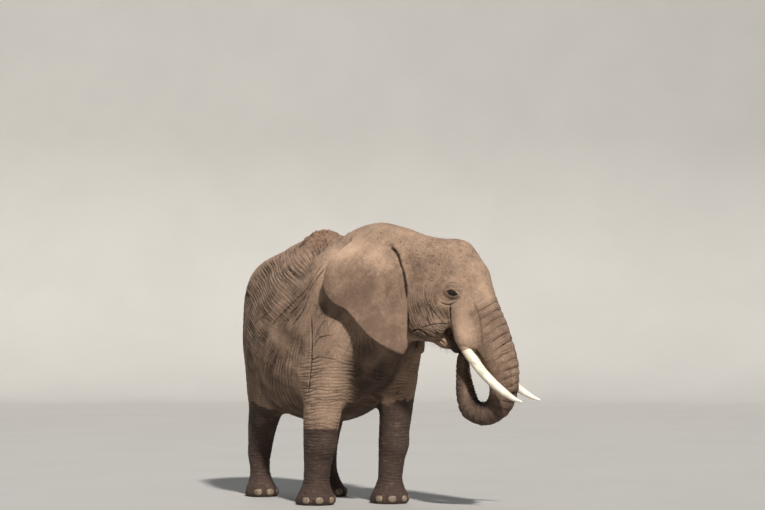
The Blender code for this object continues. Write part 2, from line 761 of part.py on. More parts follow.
# tail in two lengths and its brush
rough = take(body, "rough_tail", (-1.5, -0.2, 0.5), (-1.045, 0.2, 1.78))
drop(rough)
whole = tube("whole_tail", TAIL[1:], 10, 16, np.array)
tail = take(whole, "tail_upper", (-1.5, -0.2, 0.5), (-1.045, 0.2, 1.78))
drop(whole)
parts["tail_upper"] = tail
parts["tail_lower"] = take(tail, "tail_lower", (-1.5, -0.2, 0.5), (-0.9, 0.2, 1.33))
brush = tube("tail_tuft", TUFT, 8, 7, np.array)
inner = grown(parts["tail_lower"], GAP * 1.5)
combine(brush, inner, "DIFFERENCE")
drop(inner)
largest(brush)
parts["tail_tuft"] = brush

# head and neck
head = take(body, "head", (0, -2, -2), (3, 2, 3), HEAD_TURN @ turn_y(-6.3), from_head((0.0, 0, 2.4)))
ahead = np.array([0.85, 0.25, 0.45])
ahead /= np.linalg.norm(ahead)
across = np.cross([0, 0, 1], ahead)
across /= np.linalg.norm(across)
frame = np.stack([ahead, across, np.cross(ahead, across)], axis=1)
parts["neck"] = take(body, "neck", (0, -2, -2), (3, 2, 2), frame, (0.93, 0, 2.0))

# trunk in five lengths; the upper three are cut by planes through a place, leaning by an angle in degrees
BELOW = ((-1.0, -0.4, -2.0), (1.0, 0.4, 0.0))
parts["trunk_5"] = take(head, "trunk_5", (0.41, -0.088, 1.06), (0.640, 0.088, 1.345), HEAD_TURN, JOINT)
trunk = take(head, "trunk_1", *BELOW, HEAD_TURN @ turn_y(-23), from_head((0.812, 0, 1.38)))
parts["trunk_4"] = take(trunk, "trunk_4", (0.38, -0.2, 0.5), (0.72, 0.2, 1.10), HEAD_TURN, JOINT)
parts["trunk_1"] = trunk
second = take(trunk, "trunk_2", *BELOW, HEAD_TURN @ turn_y(-15), from_head((0.878, 0, 1.20)))
parts["trunk_2"] = second
parts["trunk_3"] = take(second, "trunk_3", *BELOW, HEAD_TURN, from_head((0.893, 0, 1.01)))

# the jaw, from the corner of the mouth on
below_mouth = ((0.0, -0.3, -0.6), (0.40, 0.3, 0.0))
corner = from_head((0.09, 0, 1.565))
parts["lower_jaw"] = take(head, "lower_jaw", *below_mouth, HEAD_TURN @ turn_y(22), corner)
parts["head"] = head
parts["torso"] = body

# the middle of the animal's box goes to the origin
cloud = np.vstack([points_of(t.data) for t in parts.values()])
shift = (cloud.min(0) + cloud.max(0)) / 2
shift[2] = 0.0
SLOTS = {"ivory": "tusk", "eye": "eye", "nail": "nail", "hair": "tail_tuft"}
herd = bpy.data.collections.new("elephant")
bpy.context.scene.collection.children.link(herd)
for name, thing in parts.items():
    place(thing.data, points_of(thing.data) - shift)
    thing.name = name
    slot = next((s for s, words in SLOTS.items() if name.startswith(words)), "skin")
    paint(thing, slot)
    for owner in list(thing.users_collection):
        owner.objects.unlink(thing)
    herd.objects.link(thing)
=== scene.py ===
"""Looks of the elephant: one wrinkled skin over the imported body, with eyes, tusks, nails and sparse hair.

Shapes are made in the body's own frame in metres, +X ahead, +Y left, +Z up, floor at z = 0, with the
same sizes as the solids. At the end every piece is moved by SHIFT, which is read from where the packed
eye lies.
"""
import math
from itertools import product

import bmesh
import bpy
import numpy as np
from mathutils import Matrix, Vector


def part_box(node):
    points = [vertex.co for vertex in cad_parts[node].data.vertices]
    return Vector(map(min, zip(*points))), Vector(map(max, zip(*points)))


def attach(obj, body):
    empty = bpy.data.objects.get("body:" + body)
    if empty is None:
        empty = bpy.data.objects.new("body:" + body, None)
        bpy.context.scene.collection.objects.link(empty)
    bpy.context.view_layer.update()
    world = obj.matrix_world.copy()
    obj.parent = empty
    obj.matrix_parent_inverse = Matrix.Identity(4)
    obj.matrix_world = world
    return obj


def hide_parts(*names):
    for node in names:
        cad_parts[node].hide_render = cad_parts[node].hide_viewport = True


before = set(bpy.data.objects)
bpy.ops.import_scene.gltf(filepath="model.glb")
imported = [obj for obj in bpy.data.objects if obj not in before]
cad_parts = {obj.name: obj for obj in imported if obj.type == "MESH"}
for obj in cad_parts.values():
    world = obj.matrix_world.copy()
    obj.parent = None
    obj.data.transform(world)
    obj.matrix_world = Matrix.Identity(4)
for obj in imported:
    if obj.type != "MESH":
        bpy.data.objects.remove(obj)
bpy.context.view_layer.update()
SIDES = {-1: "right", 1: "left"}   # her sides, by the sign of +Y
UPWARD = np.array([0.0, 0.0, 1.0])


def turned(degrees):
    """Cosine and sine of an angle in degrees."""
    return math.cos(math.radians(degrees)), math.sin(math.radians(degrees))


def normed(vector):
    return vector / np.linalg.norm(vector)


def bell(x, middle, width):
    """1 at the middle, falling off smoothly on both sides."""
    return np.exp(-(((x - middle) / width) ** 2))


def within(points, centre, reach):
    """Which points lie closer to a centre than the reach."""
    return ((points - centre) ** 2).sum(1) < reach**2


def turn_z(degrees):
    c, s = turned(degrees)
    return np.array([[c, -s, 0.0], [s, c, 0.0], [0.0, 0.0, 1.0]])


def turn_y(degrees):
    """Positive tips the front (+X) down."""
    c, s = turned(degrees)
    return np.array([[c, 0.0, s], [0.0, 1.0, 0.0], [-s, 0.0, c]])


# ---------------------------------------------------------------- driving sizes (metres)
EYE_RADIUS = 0.026
EYE_DEPTH = 0.014     # centre of the eyeball under the skin
NAIL_HALF = (0.017, 0.037, 0.034)   # outward, sideways, up
NAIL_HEIGHT, NAIL_DEPTH = 0.047, 0.007   # of a nail's middle over the floor and in the foot
FRONT_NAILS = (-66, -24, 20, 60)    # degrees round the foot from straight ahead
HIND_NAILS = (-44, 0, 44)
TUFT = [   # forward, left, height, radius
    (-1.082, -0.029, 1.00, 0.030),
    (-1.08, -0.03, 0.90, 0.040),
    (-1.078, -0.032, 0.80, 0.043),
    (-1.075, -0.035, 0.68, 0.030),
    (-1.075, -0.035, 0.58, 0.010),
]
# TORSO: forward, top, underside, half width
TORSO = [
    (-0.90, 2.07, 1.22, 0.29),
    (-0.75, 2.20, 1.00, 0.43),
    (-0.52, 2.305, 0.81, 0.55),
    (-0.25, 2.375, 0.72, 0.62),
    (0.00, 2.405, 0.70, 0.635),
    (0.30, 2.35, 0.735, 0.60),
    (0.55, 2.40, 0.85, 0.52),
    (0.78, 2.425, 1.06, 0.42),
    (0.98, 2.40, 1.24, 0.34),
    (1.15, 2.36, 1.42, 0.27),
]
EGG = 0.18            # how much narrower the body is above its middle
SQUASH = 1.04         # tubes are this much wider than deep

JOINT = np.array([1.20, 0.08, 0.0])
HEAD_YAW = 36.0
HEAD_TURN = turn_z(HEAD_YAW)


def to_head(p):
    return (p - JOINT) @ HEAD_TURN


def from_head(q):
    return np.asarray(q, float) @ HEAD_TURN.T + JOINT


FRONT_LEG = [  # height, forward of the leg line, half length, half width, towards the middle
    (0.00, 0.00, 0.168, 0.155, 0.0),
    (0.025, 0.00, 0.182, 0.168, 0.0),
    (0.07, 0.005, 0.176, 0.163, 0.0),
    (0.13, 0.005, 0.148, 0.138, 0.0),
    (0.20, 0.005, 0.126, 0.118, 0.0),
    (0.30, 0.01, 0.124, 0.116, 0.0),
    (0.45, 0.02, 0.142, 0.131, 0.0),
    (0.65, 0.035, 0.166, 0.150, 0.0),
    (0.90, 0.055, 0.198, 0.168, 0.0),
    (1.15, 0.085, 0.225, 0.175, 0.0),
    (1.35, 0.115, 0.230, 0.165, 0.01),
    (1.60, 0.12, 0.19, 0.12, 0.04),
    (1.90, 0.06, 0.12, 0.06, 0.13),
]
HIND_LEG = [
    (0.00, 0.03, 0.156, 0.138, 0.0),
    (0.025, 0.03, 0.172, 0.152, 0.0),
    (0.07, 0.025, 0.164, 0.146, 0.0),
    (0.13, 0.01, 0.132, 0.120, 0.0),
    (0.20, -0.01, 0.108, 0.102, 0.0),
    (0.32, -0.025, 0.104, 0.098, 0.0),
    (0.45, -0.025, 0.120, 0.110, 0.0),
    (0.62, 0.00, 0.148, 0.130, 0.0),
    (0.80, 0.06, 0.190, 0.152, 0.0),
    (1.00, 0.095, 0.258, 0.182, 0.0),
    (1.25, 0.08, 0.300, 0.187, 0.01),
    (1.55, 0.06, 0.28, 0.178, 0.02),
    (1.90, 0.06, 0.16, 0.10, 0.05),
]
FULL_GIRTH = 0.9      # height above which a leg has its upper girth
# shape, foot (forward, left) at the floor, the leg line (forward, left) at its top, girth below and above
LEGS = {
    "front_right": (FRONT_LEG, (0.41, -0.365), (0.60, -0.36), (1.02, 1.0)),
    "front_left": (FRONT_LEG, (0.613, 0.277), (0.622, 0.375), (1.0, 0.86)),
    "hind_right": (HIND_LEG, (-0.72, -0.295), (-0.60, -0.29), (0.97, 1.0)),
    "hind_left": (HIND_LEG, (-0.39, 0.25), (-0.56, 0.29), (0.97, 1.0)),
}


def leg_stations(name):
    """Height, middle (forward, left), half length and half width of a leg, from the sole up."""
    shape, foot, top, girth = LEGS[name]
    high = shape[-1][0]
    stations = []
    for z, ahead, length, width, inward in shape:
        t = z / high
        g = girth[0] + (girth[1] - girth[0]) * min(1.0, z / FULL_GIRTH)
        x = foot[0] + (top[0] - foot[0]) * t
        y = foot[1] + (top[1] - foot[1]) * t
        stations.append((z, x + ahead, y - math.copysign(inward, y), length * g, width * g))
    return stations


TRUNK = [  # head frame: forward, left, height, radius
    (0.575, 0.0, 1.95, 0.197),
    (0.625, 0.0, 1.78, 0.197),
    (0.702, 0.0, 1.62, 0.187),
    (0.780, 0.0, 1.47, 0.174),
    (0.846, 0.0, 1.32, 0.157),
    (0.890, 0.0, 1.17, 0.139),
    (0.895, 0.0, 1.02, 0.123),
    (0.842, 0.0, 0.89, 0.110),
    (0.725, 0.0, 0.822, 0.101),
    (0.608, 0.0, 0.862, 0.094),
    (0.562, 0.0, 0.965, 0.086),
    (0.540, 0.0, 1.08, 0.073),
    (0.530, 0.0, 1.19, 0.062),
    (0.530, 0.0, 1.29, 0.055),
]
CURL = TRUNK[8:]      # the length that turns back up to the mouth

TUSK = [  # head frame, left side
    (0.540, 0.150, 1.50, 0.041),
    (0.622, 0.172, 1.365, 0.042),
    (0.705, 0.190, 1.265, 0.0415),
    (0.777, 0.205, 1.183, 0.040),
    (0.872, 0.220, 1.095, 0.037),
    (0.972, 0.235, 1.021, 0.031),
    (1.060, 0.245, 0.968, 0.021),
    (1.143, 0.250, 0.936, 0.006),
]
EYE = (0.525, 0.262, 1.85)

TAIL = [
    (-0.80, 0.0, 1.98, 0.11),
    (-0.92, 0.0, 1.93, 0.085),
    (-1.03, 0.0, 1.80, 0.062),
    (-1.09, -0.005, 1.60, 0.048),
    (-1.10, -0.015, 1.35, 0.038),
    (-1.09, -0.025, 1.10, 0.030),
    (-1.08, -0.03, 0.90, 0.024),
]

# EARS: root (forward, left), the way it runs back in degrees, which side is out, lean towards the rear
EARS = {"right": ((1.417, -0.133), 215.0, -1, 0.0), "left": ((1.085, 0.325), 159.0, 1, 0.13)}
# EAR_OUTLINE: back from the root, and height; up the rear edge from the lowest tip, then down the front
EAR_OUTLINE = [
    (-0.04, 1.34), (0.15, 1.42), (0.34, 1.57), (0.48, 1.71), (0.62, 1.78), (0.71, 1.90), (0.70, 2.06),
    (0.66, 2.16), (0.58, 2.25), (0.51, 2.31), (0.40, 2.37), (0.25, 2.38), (0.08, 2.30), (0.00, 2.12),
    (-0.04, 2.05), (-0.06, 1.95), (-0.07, 1.75), (-0.07, 1.48), (-0.07, 1.39), (-0.04, 1.34),
]
EAR_MIDDLE = (0.33, 1.95)
EAR_THICK = 0.028
EAR_ROOT, EAR_ROOT_REACH = 0.012, 0.12   # how much thicker each face is at the root, and how far
EAR_HINGE = 2.1       # height at which a leaning ear keeps its place


def ear_edge():
    """The way in degrees and the reach from the middle of the flap to each place on its outline."""
    back, up = (np.array(EAR_OUTLINE) - EAR_MIDDLE).T
    return np.degrees(np.unwrap(np.arctan2(up, back))), np.hypot(back, up)


EAR_ANGLES, EAR_REACHES = ear_edge()


def ear_reach(angle):
    """From the middle of the flap to its outline, at an angle in degrees."""
    return through(EAR_ANGLES, EAR_REACHES, (angle - EAR_ANGLES[0]) % 360 + EAR_ANGLES[0])


def ear_round(count):
    """Angles in degrees at even steps round the flap."""
    return EAR_ANGLES[0] + np.arange(count) * 360 / count


def ear_place(reach, angle):
    """A place in the plane of the flap: back from the root, and height."""
    way = np.radians(angle)
    return EAR_MIDDLE[0] + reach * np.cos(way), EAR_MIDDLE[1] + reach * np.sin(way)


def ear_bow(a, z):
    """How far the flap stands out from its plane: its top folds in, its edges bend, and it waves."""
    top = np.clip((z - 2.00) / 0.38, 0, 1.1)
    low = np.clip((1.80 - z) / 0.45, 0, 1)
    rear = np.clip((a - 0.45) / 0.3, 0, 1)
    front = np.clip(-a / 0.06, 0, 1)
    wave = 0.03 * np.sin(np.clip(a, 0, 0.7) * 4.5) + 0.01 * np.sin(9 * z + 6 * a)
    return wave - 0.34 * top**2 + 0.02 * low - 0.05 * rear**2 - 0.018 * front


def to_ear(p, side):
    """Points as seen by one ear: back from its root, out from its plane, and height."""
    root, way, out, swing = EARS[side]
    c, s = turned(way)
    dx, dy = p[:, 0] - root[0], p[:, 1] - root[1]
    return dx * c + dy * s - swing * (EAR_HINGE - p[:, 2]), (dx * s - dy * c) * out, p[:, 2]


def from_ear(a, c, z, side):
    """The other way round: from the ear's own measures to points."""
    root, way, out, swing = EARS[side]
    co, s = turned(way)
    a = a + swing * (EAR_HINGE - z)
    return np.stack([root[0] + a * co + c * s * out, root[1] + a * s - c * co * out, z], axis=-1)


def ear_shell(side, around=48, rings=10):
    """Closed shell of the ear: points and faces."""
    pts, faces = [], []
    ang = ear_round(around)
    reach = ear_reach(ang)
    for face in (1, -1):
        for k in range(rings):
            f = k / rings
            a, z = ear_place(reach * f, ang)
            c = ear_bow(a, z) + face * EAR_THICK / 2 * math.sqrt(1 - f**8)
            wanted = slice(1 if k == 0 else None)
            pts.append(from_ear(a[wanted], c[wanted], z[wanted], side))
    a, z = ear_place(reach, ang)
    pts.append(from_ear(a, ear_bow(a, z), z, side))
    one = 1 + (rings - 1) * around
    rim = 2 * one
    for face in (0, 1):
        o = face * one
        for j in range(around):
            k = (j + 1) % around
            leaves = [(o, o + 1 + j, o + 1 + k)]
            for i in range(rings - 1):
                lo = o + 1 + i * around
                hi = o + 1 + (i + 1) * around if i < rings - 2 else rim
                leaves.append((lo + j, hi + j, hi + k, lo + k))
            faces += [leaf[::-1] for leaf in leaves] if face else leaves
    return np.vstack(pts), faces


# ---------------------------------------------------------------- shape as distances
TINY = 1e-9           # keeps a division from failing


def smooth_union(a, b, k):
    """Two distances as one, with a round fillet of about k between them."""
    h = np.clip(0.5 + 0.5 * (b - a) / k, 0.0, 1.0)
    return b + (a - b) * h - k * h * (1.0 - h)


def through(keys, values, at):
    """Smooth curve through (keys, values), held level past its ends."""
    keys = np.asarray(keys, float)
    values = np.asarray(values, float)
    slopes = np.gradient(values, keys, axis=0)
    at = np.clip(at, keys[0], keys[-1])
    i = np.clip(np.searchsorted(keys, at, side="right") - 1, 0, len(keys) - 2)
    step = keys[i + 1] - keys[i]
    t = (at - keys[i]) / step
    if values.ndim == 2:
        t, step = t[:, None], step[:, None]
    t2, t3 = t * t, t * t * t
    return (
        (2 * t3 - 3 * t2 + 1) * values[i]
        + (t3 - 2 * t2 + t) * step * slopes[i]
        + (3 * t2 - 2 * t3) * values[i + 1]
        + (t3 - t2) * step * slopes[i + 1]
    )


def ellipse_distance(a, b, half_a, half_b):
    k0 = np.sqrt((a / half_a) ** 2 + (b / half_b) ** 2) + TINY
    k1 = np.sqrt((a / half_a**2) ** 2 + (b / half_b**2) ** 2) + TINY
    return k0 * (k0 - 1.0) / k1


def ellipsoid(p, centre, radii, turn=None):
    """Distance to an ellipsoid, near enough."""
    q = p - np.asarray(centre, float)
    if turn is not None:
        q = q @ turn
    radii = np.asarray(radii, float)
    k0 = np.sqrt(((q / radii) ** 2).sum(1)) + TINY
    k1 = np.sqrt(((q / radii**2) ** 2).sum(1)) + TINY
    return k0 * (k0 - 1.0) / k1


def column(p, stations):
    """Distance to a leg: stations of (height, forward, left, half length, half width) from the sole up."""
    st = np.asarray(stations, float)
    s = through(st[:, 0], st[:, 1:], p[:, 2])
    d = ellipse_distance(p[:, 0] - s[:, 0], p[:, 1] - s[:, 1], s[:, 2], s[:, 3])
    above = np.maximum(p[:, 2] - st[-1, 0], 0)
    return np.where(above > 0, np.hypot(np.maximum(d, 0), above), d)


def masses():
    """(group, blend, centre, radii, turn) of each ellipsoid. The head's are written in its own frame."""
    out = []

    def body(group, blend, centre, radii, turn=None, sides=False):
        for s in SIDES if sides else (1,):
            out.append((group, blend, np.array(centre, float) * (1, s, 1), radii, turn))

    def head(group, blend, centre, radii, turn=None, sides=False):
        for s in SIDES if sides else (1,):
            c = from_head(np.array(centre, float) * (1, s, 1))
            out.append((group, blend, c, radii, HEAD_TURN if turn is None else HEAD_TURN @ turn))

    # torso
    body("torso", 0.12, (-0.72, 0, 1.62), (0.28, 0.37, 0.47))                     # rump
    body("torso", 0.10, (-0.56, 0.255, 1.80), (0.33, 0.228, 0.38), sides=True)      # haunch
    body("torso", 0.10, (-0.38, 0.24, 2.10), (0.20, 0.14, 0.10), sides=True)      # hip bone
    body("torso", 0.06, (-0.04, 0, 2.30), (0.22, 0.16, 0.15))                     # hump of the back
    body("torso", 0.10, (0.56, 0.29, 1.78), (0.23, 0.15, 0.45), turn_y(-14), sides=True)  # shoulder blade
    body("torso", 0.10, (0.70, 0.31, 1.46), (0.21, 0.17, 0.25), sides=True)       # point of the shoulder
    body("torso", 0.10, (0.62, 0, 1.25), (0.36, 0.26, 0.27))                      # breastbone
    body("torso", 0.05, (0.60, 0.10, 0.975), (0.10, 0.075, 0.10), sides=True)     # breast
    # neck
    body("neck", 0.14, (1.00, 0.04, 1.92), (0.42, 0.33, 0.49))
    body("neck", 0.10, (0.90, 0.02, 2.31), (0.38, 0.17, 0.14))
    for name in LEGS:
        st = np.array(leg_stations(name))

        def at(z):
            return through(st[:, 0], st[:, 1:], np.array([z]))[0]
        if "front" in name:
            x, y, a, b = at(0.52)
            body(name, 0.06, (x + 0.05, y, 0.53), (a * 0.80, b * 0.86, 0.12))      # wrist
            x, y, a, b = at(1.12)
            body(name, 0.08, (x - a * 0.62, y * 1.02, 1.13), (0.11, 0.10, 0.16))   # elbow
        else:
            x, y, a, b = at(0.42)
            body(name, 0.05, (x - a * 0.52, y, 0.40), (0.07, 0.075, 0.12))         # heel
            x, y, a, b = at(0.92)
            body(name, 0.08, (x + a * 0.50, y * 1.04, 0.95), (0.13, 0.12, 0.17))   # knee
    # head
    head("head", 0.10, (0.02, 0, 2.10), (0.26, 0.27, 0.29))                       # back of the head
    head("head", 0.10, (0.24, 0, 2.05), (0.36, 0.25, 0.285))                      # crown
    head("head", 0.08, (0.483, 0, 2.055), (0.20, 0.19, 0.26))                     # forehead
    head("head", 0.08, (0.10, 0, 1.75), (0.24, 0.24, 0.30))                       # back of the jaw
    head("head", 0.07, (0.33, 0.17, 1.80), (0.23, 0.10, 0.13), sides=True)        # cheekbone
    head("head", 0.05, (0.47, 0.195, 1.88), (0.11, 0.075, 0.09), sides=True)      # eye bulge
    head("head", 0.06, (0.25, 0.13, 1.62), (0.20, 0.10, 0.16), sides=True)        # cheek
    head("head", 0.05, (0.20, 0, 1.53), (0.20, 0.13, 0.09), turn_y(12))           # lower jaw
    head("head", 0.04, (0.36, 0, 1.435), (0.10, 0.075, 0.055), turn_y(20))        # lower lip
    head("head", 0.07, (0.57, 0.125, 1.64), (0.115, 0.088, 0.28), turn_y(-14), sides=True)  # tusk sheath
    head("head", 0.04, (0.596, 0.158, 1.475), (0.083, 0.076, 0.125), turn_y(-24), sides=True)  # its mouth
    head("head", 0.08, (0.00, 0.24, 1.95), (0.11, 0.055, 0.26), sides=True)        # root of the ear
    return out


# ---------------------------------------------------------------- the form, cube by cube
REACH = 0.26          # what lies further off than this doesn't shape the skin
FAR = 0.50            # distance given to a part out of reach


def cubes(points, size=0.40):
    """Splits points into lists of indices, one for each cube of space that holds any."""
    cell = np.floor(points / size).astype(np.int64) + 64
    code = (cell[:, 0] * 256 + cell[:, 1]) * 256 + cell[:, 2]
    order = np.argsort(code, kind="stable")
    return np.split(order, np.flatnonzero(np.diff(code[order])) + 1)


def spread(stations, count):
    """A number of stations, evenly spread along the smooth line through the given ones."""
    n = len(stations)
    return through(np.arange(n), np.array(stations, float), np.linspace(0, n - 1, count))


def finer(stations, fine=3):
    return spread(stations, (len(stations) - 1) * fine + 1)


def chain(p, stations):
    """Distance to a tapering tube through stations of (point, radius), for points that lie close together."""
    low, high = p.min(0) - REACH, p.max(0) + REACH
    best = np.full(len(p), FAR)
    for a, b in zip(stations[:-1], stations[1:]):
        wide = max(a[3], b[3])
        above = np.any(np.minimum(a[:3], b[:3]) - wide > high)
        if above or np.any(np.maximum(a[:3], b[:3]) + wide < low):
            continue
        ab = b[:3] - a[:3]
        t = np.clip(((p - a[:3]) @ ab) / (ab @ ab), 0, 1)
        off = p - a[:3] - t[:, None] * ab
        off[:, 1] /= SQUASH
        best = np.minimum(best, np.sqrt((off**2).sum(1)) - (a[3] + t * (b[3] - a[3])))
    return best


def torso(p):
    """Distance to the barrel of the body."""
    t = np.array(TORSO)
    x = np.clip(p[:, 0], t[0, 0], t[-1, 0])
    s = through(t[:, 0], t[:, 1:], x)
    mid, tall = (s[:, 0] + s[:, 1]) / 2, (s[:, 0] - s[:, 1]) / 2
    up = p[:, 2] - mid
    wide = s[:, 2] * (1 - EGG * np.clip(up / tall, -1, 1))
    d = ellipse_distance(p[:, 1], up, wide, tall)
    beyond = np.abs(p[:, 0] - x)
    return np.where(beyond > 0, np.hypot(np.maximum(d, 0), beyond), d)


def spans(mass):
    """A mass followed by how far it reaches from its centre along each axis."""
    _, _, _, radii, turn = mass
    return *mass, radii if turn is None else np.sqrt(((turn * radii) ** 2).sum(1))


MASSES = [spans(mass) for mass in masses()]
STATIONS = {name: np.array(leg_stations(name)) for name in LEGS}
TRUNK_LINE, CURL_LINE, TAIL_LINE, TUSK_LINE = finer(TRUNK), finer(CURL), finer(TAIL), finer(TUSK)
GROUPS = ["torso", "neck", "head", "trunk", "tail", *LEGS, *("ear_" + side for side in EARS)]


def leg_in_reach(name, low, high):
    middle, half = STATIONS[name][:, 1:3], STATIONS[name][:, 3:5]
    return np.all((middle - half).min(0) < high[:2]) and np.all((middle + half).max(0) > low[:2])


EAR_SPAN = ((-0.6, 1.3), (0.9, 2.9))   # of the even grid, back from the root and in height
EAR_STEP = 0.008


def ear_map():
    """Distance to the outline of the flap on an even grid, below zero inside it."""
    angles = ear_round(180)
    edge = np.stack(ear_place(ear_reach(angles), angles), axis=1)
    back, up = (np.arange(*span, EAR_STEP) for span in EAR_SPAN)
    grid = np.stack(np.meshgrid(back, up, indexing="ij"), axis=-1)
    nearest = np.full(grid.shape[:2], 9.0)
    inside = np.zeros(grid.shape[:2], bool)
    for one, two in zip(edge, np.roll(edge, -1, axis=0)):
        run = two - one
        t = np.clip(((grid - one) @ run) / (run @ run), 0, 1)
        nearest = np.minimum(nearest, np.linalg.norm(grid - one - t[..., None] * run, axis=-1))
        if run[1]:
            crossed = (one[1] > grid[..., 1]) != (two[1] > grid[..., 1])
            inside ^= crossed & (grid[..., 0] < one[0] + run[0] * (grid[..., 1] - one[1]) / run[1])
    return np.where(inside, -nearest, nearest)


EAR_MAP = ear_map()


def past_edge(a, z):
    """How far a place in the plane of the flap lies outside its outline."""
    at = np.stack([(a - EAR_SPAN[0][0]) / EAR_STEP, (z - EAR_SPAN[1][0]) / EAR_STEP])
    at = np.clip(at, 0, np.array(EAR_MAP.shape)[:, None] - 1.001)
    i, j = at.astype(int)
    s, t = at - (i, j)
    low = EAR_MAP[i, j] * (1 - s) + EAR_MAP[i + 1, j] * s
    high = EAR_MAP[i, j + 1] * (1 - s) + EAR_MAP[i + 1, j + 1] * s
    return low * (1 - t) + high * t


def ear(p, side):
    """Distance to the flap of one ear, a bowed sheet that is thicker at its root."""
    a, c, z = to_ear(p, side)
    edge = past_edge(a, z) + EAR_THICK / 2
    off = np.abs(c - ear_bow(a, z))
    thick = EAR_THICK / 2 + EAR_ROOT * np.exp(-np.clip(a, 0, 1) / EAR_ROOT_REACH)
    return np.where(edge > 0, np.hypot(edge, off), off) - thick


def distances(p):
    """Distance from points that lie close together to each part of the body within reach."""
    low, high = p.min(0) - REACH, p.max(0) + REACH
    part = {"torso": torso(p)}
    for name in LEGS:
        if low[2] < 1.9 and leg_in_reach(name, low, high):
            part[name] = column(p, STATIONS[name])
    for group, blend, centre, radii, turn, span in MASSES:
        if np.all(centre - span < high) and np.all(centre + span > low):
            d = ellipsoid(p, centre, radii, turn)
            part[group] = smooth_union(part[group], d, blend) if group in part else d
    part["trunk"] = chain(to_head(p), TRUNK_LINE)
    part["tail"] = chain(p, TAIL_LINE)
    for side, (root, *_) in EARS.items():
        if high[2] > 1.2 and np.hypot(*(p[:, :2].mean(0) - root)) < 1.1:
            part["ear_" + side] = ear(p, side)
    return part


# How wide the fillet is where each part joins those before it
BLENDS = {"neck": 0.14, "head": 0.10, "trunk": 0.09, **dict.fromkeys(LEGS, 0.13), "tail": 0.05}
# Centre and half sizes, in the head's frame
TONGUE = ((0.472, 0.0, 1.442), (0.070, 0.062, 0.105))
MOUTH = ((0.515, 0.0, 1.37), (0.085, 0.080, 0.13))
TEMPLES = {side: ((0.27, 0.285 * side, 2.09), (0.15, 0.055, 0.11)) for side in SIDES}


def less(total, hollow, blend):
    """A distance with a hollow taken out of it."""
    return -smooth_union(-total, hollow, blend)


def form_close(p):
    """Signed distance, near enough, to the skin, for points that lie close together."""
    part = distances(p)
    total = part["torso"]
    for name, blend in BLENDS.items():
        if name in part:
            total = smooth_union(total, part[name], blend)
    q = to_head(p)
    for temple in TEMPLES.values():
        total = less(total, ellipsoid(q, *temple), 0.10)
    total = less(total, ellipsoid(q, *MOUTH), 0.03)
    total = smooth_union(total, ellipsoid(q, *TONGUE), 0.02)
    total = smooth_union(total, chain(q, CURL_LINE), 0.01)
    for side in EARS:
        if "ear_" + side in part:
            crest = 0.025 + 0.10 * np.clip((p[:, 2] - 2.12) / 0.22, 0, 1) ** 2
            total = smooth_union(total, part["ear_" + side], crest)
    return np.maximum(total, -p[:, 2])


def slope_close(field, p, value, step=0.003):
    """How a field rises along each axis, from its values at the points."""
    g = np.empty_like(p)
    for i in range(3):
        moved = p.copy()
        moved[:, i] += step
        g[:, i] = (field(moved) - value) / step
    return g


def onto(points, field=form_close, most=0.03):
    """Points moved onto the surface where the field is zero."""
    out = points.copy()
    for some in cubes(points):
        p = points[some]
        value = field(p)
        g = slope_close(field, p, value)
        size = np.maximum((g**2).sum(1), 0.09)
        out[some] = p - np.clip(value / size, -most, most)[:, None] * g
    return out


# ---------------------------------------------------------------- noise
def scramble(ix, iy, iz, seed):
    """Whole numbers made from whole places and a seed, with no pattern in them."""
    h = ix.astype(np.uint32) * np.uint32(374761393) + iy.astype(np.uint32) * np.uint32(668265263)
    h += iz.astype(np.uint32) * np.uint32(2147483647) + np.uint32(seed * 1013904223 & 0xFFFFFFFF)
    h = (h ^ (h >> np.uint32(13))) * np.uint32(1274126177)
    h = (h ^ (h >> np.uint32(16))) * np.uint32(2246822519)
    return h ^ (h >> np.uint32(13))


def three(h):
    """Three numbers from 0 to 1023 out of each whole number."""
    return [(h >> np.uint32(shift)) & np.uint32(1023) for shift in (0, 10, 20)]


def corners_near(i, steps, seed):
    """Each corner (a, b, c) beside whole places, with its three numbers."""
    for corner in product(steps, repeat=3):
        yield corner, three(scramble(i[:, 0] + corner[0], i[:, 1] + corner[1], i[:, 2] + corner[2], seed))


def noise(q, seed):
    """Smooth gradient noise of points, about -1 to 1."""
    q = np.asarray(q, float)
    base = np.floor(q)
    f = q - base
    w = f * f * f * (f * (f * 6 - 15) + 10)
    total = np.zeros(len(q))
    for corner, numbers in corners_near(base.astype(np.int64), (0, 1), seed):
        part = sum((h / 511.5 - 1.0) * (f[:, k] - corner[k]) for k, h in enumerate(numbers))
        for k in range(3):
            part = part * (w[:, k] if corner[k] else 1 - w[:, k])
        total += part
    return total * 1.35


def cracks(q, seed):
    """Nearness to the edges between cells about one unit across: 0 in a cell, 1 on an edge."""
    base = np.floor(q)
    f = q - base
    near = np.full(len(q), 9.0)
    second = np.full(len(q), 9.0)
    for corner, numbers in corners_near(base.astype(np.int64), (-1, 0, 1), seed):
        d = np.sqrt(sum((corner[k] + h / 1023.0 - f[:, k]) ** 2 for k, h in enumerate(numbers)))
        second = np.minimum(second, np.maximum(d, near))
        near = np.minimum(near, d)
    return np.clip(1.0 - (second - near) / 0.28, 0.0, 1.0)


def ramp(x, low, high):
    """0 below low, 1 above high, and a smooth rise between."""
    t = np.clip((x - low) / (high - low), 0.0, 1.0)
    return t * t * (3 - 2 * t)


# ---------------------------------------------------------------- the skin as one mesh
COARSE = 0.0142       # face of the first mesh; the skin's faces are half as wide
LID_RADIUS = 0.0355
LID_TILT = -17.0      # degrees, the front corner of the eye is the lower one
LID_DROP = 0.001             # how far the gap between the lids lies under the middle of the eye
OPENING = (0.0400, 0.0195)   # half length and half height of that gap
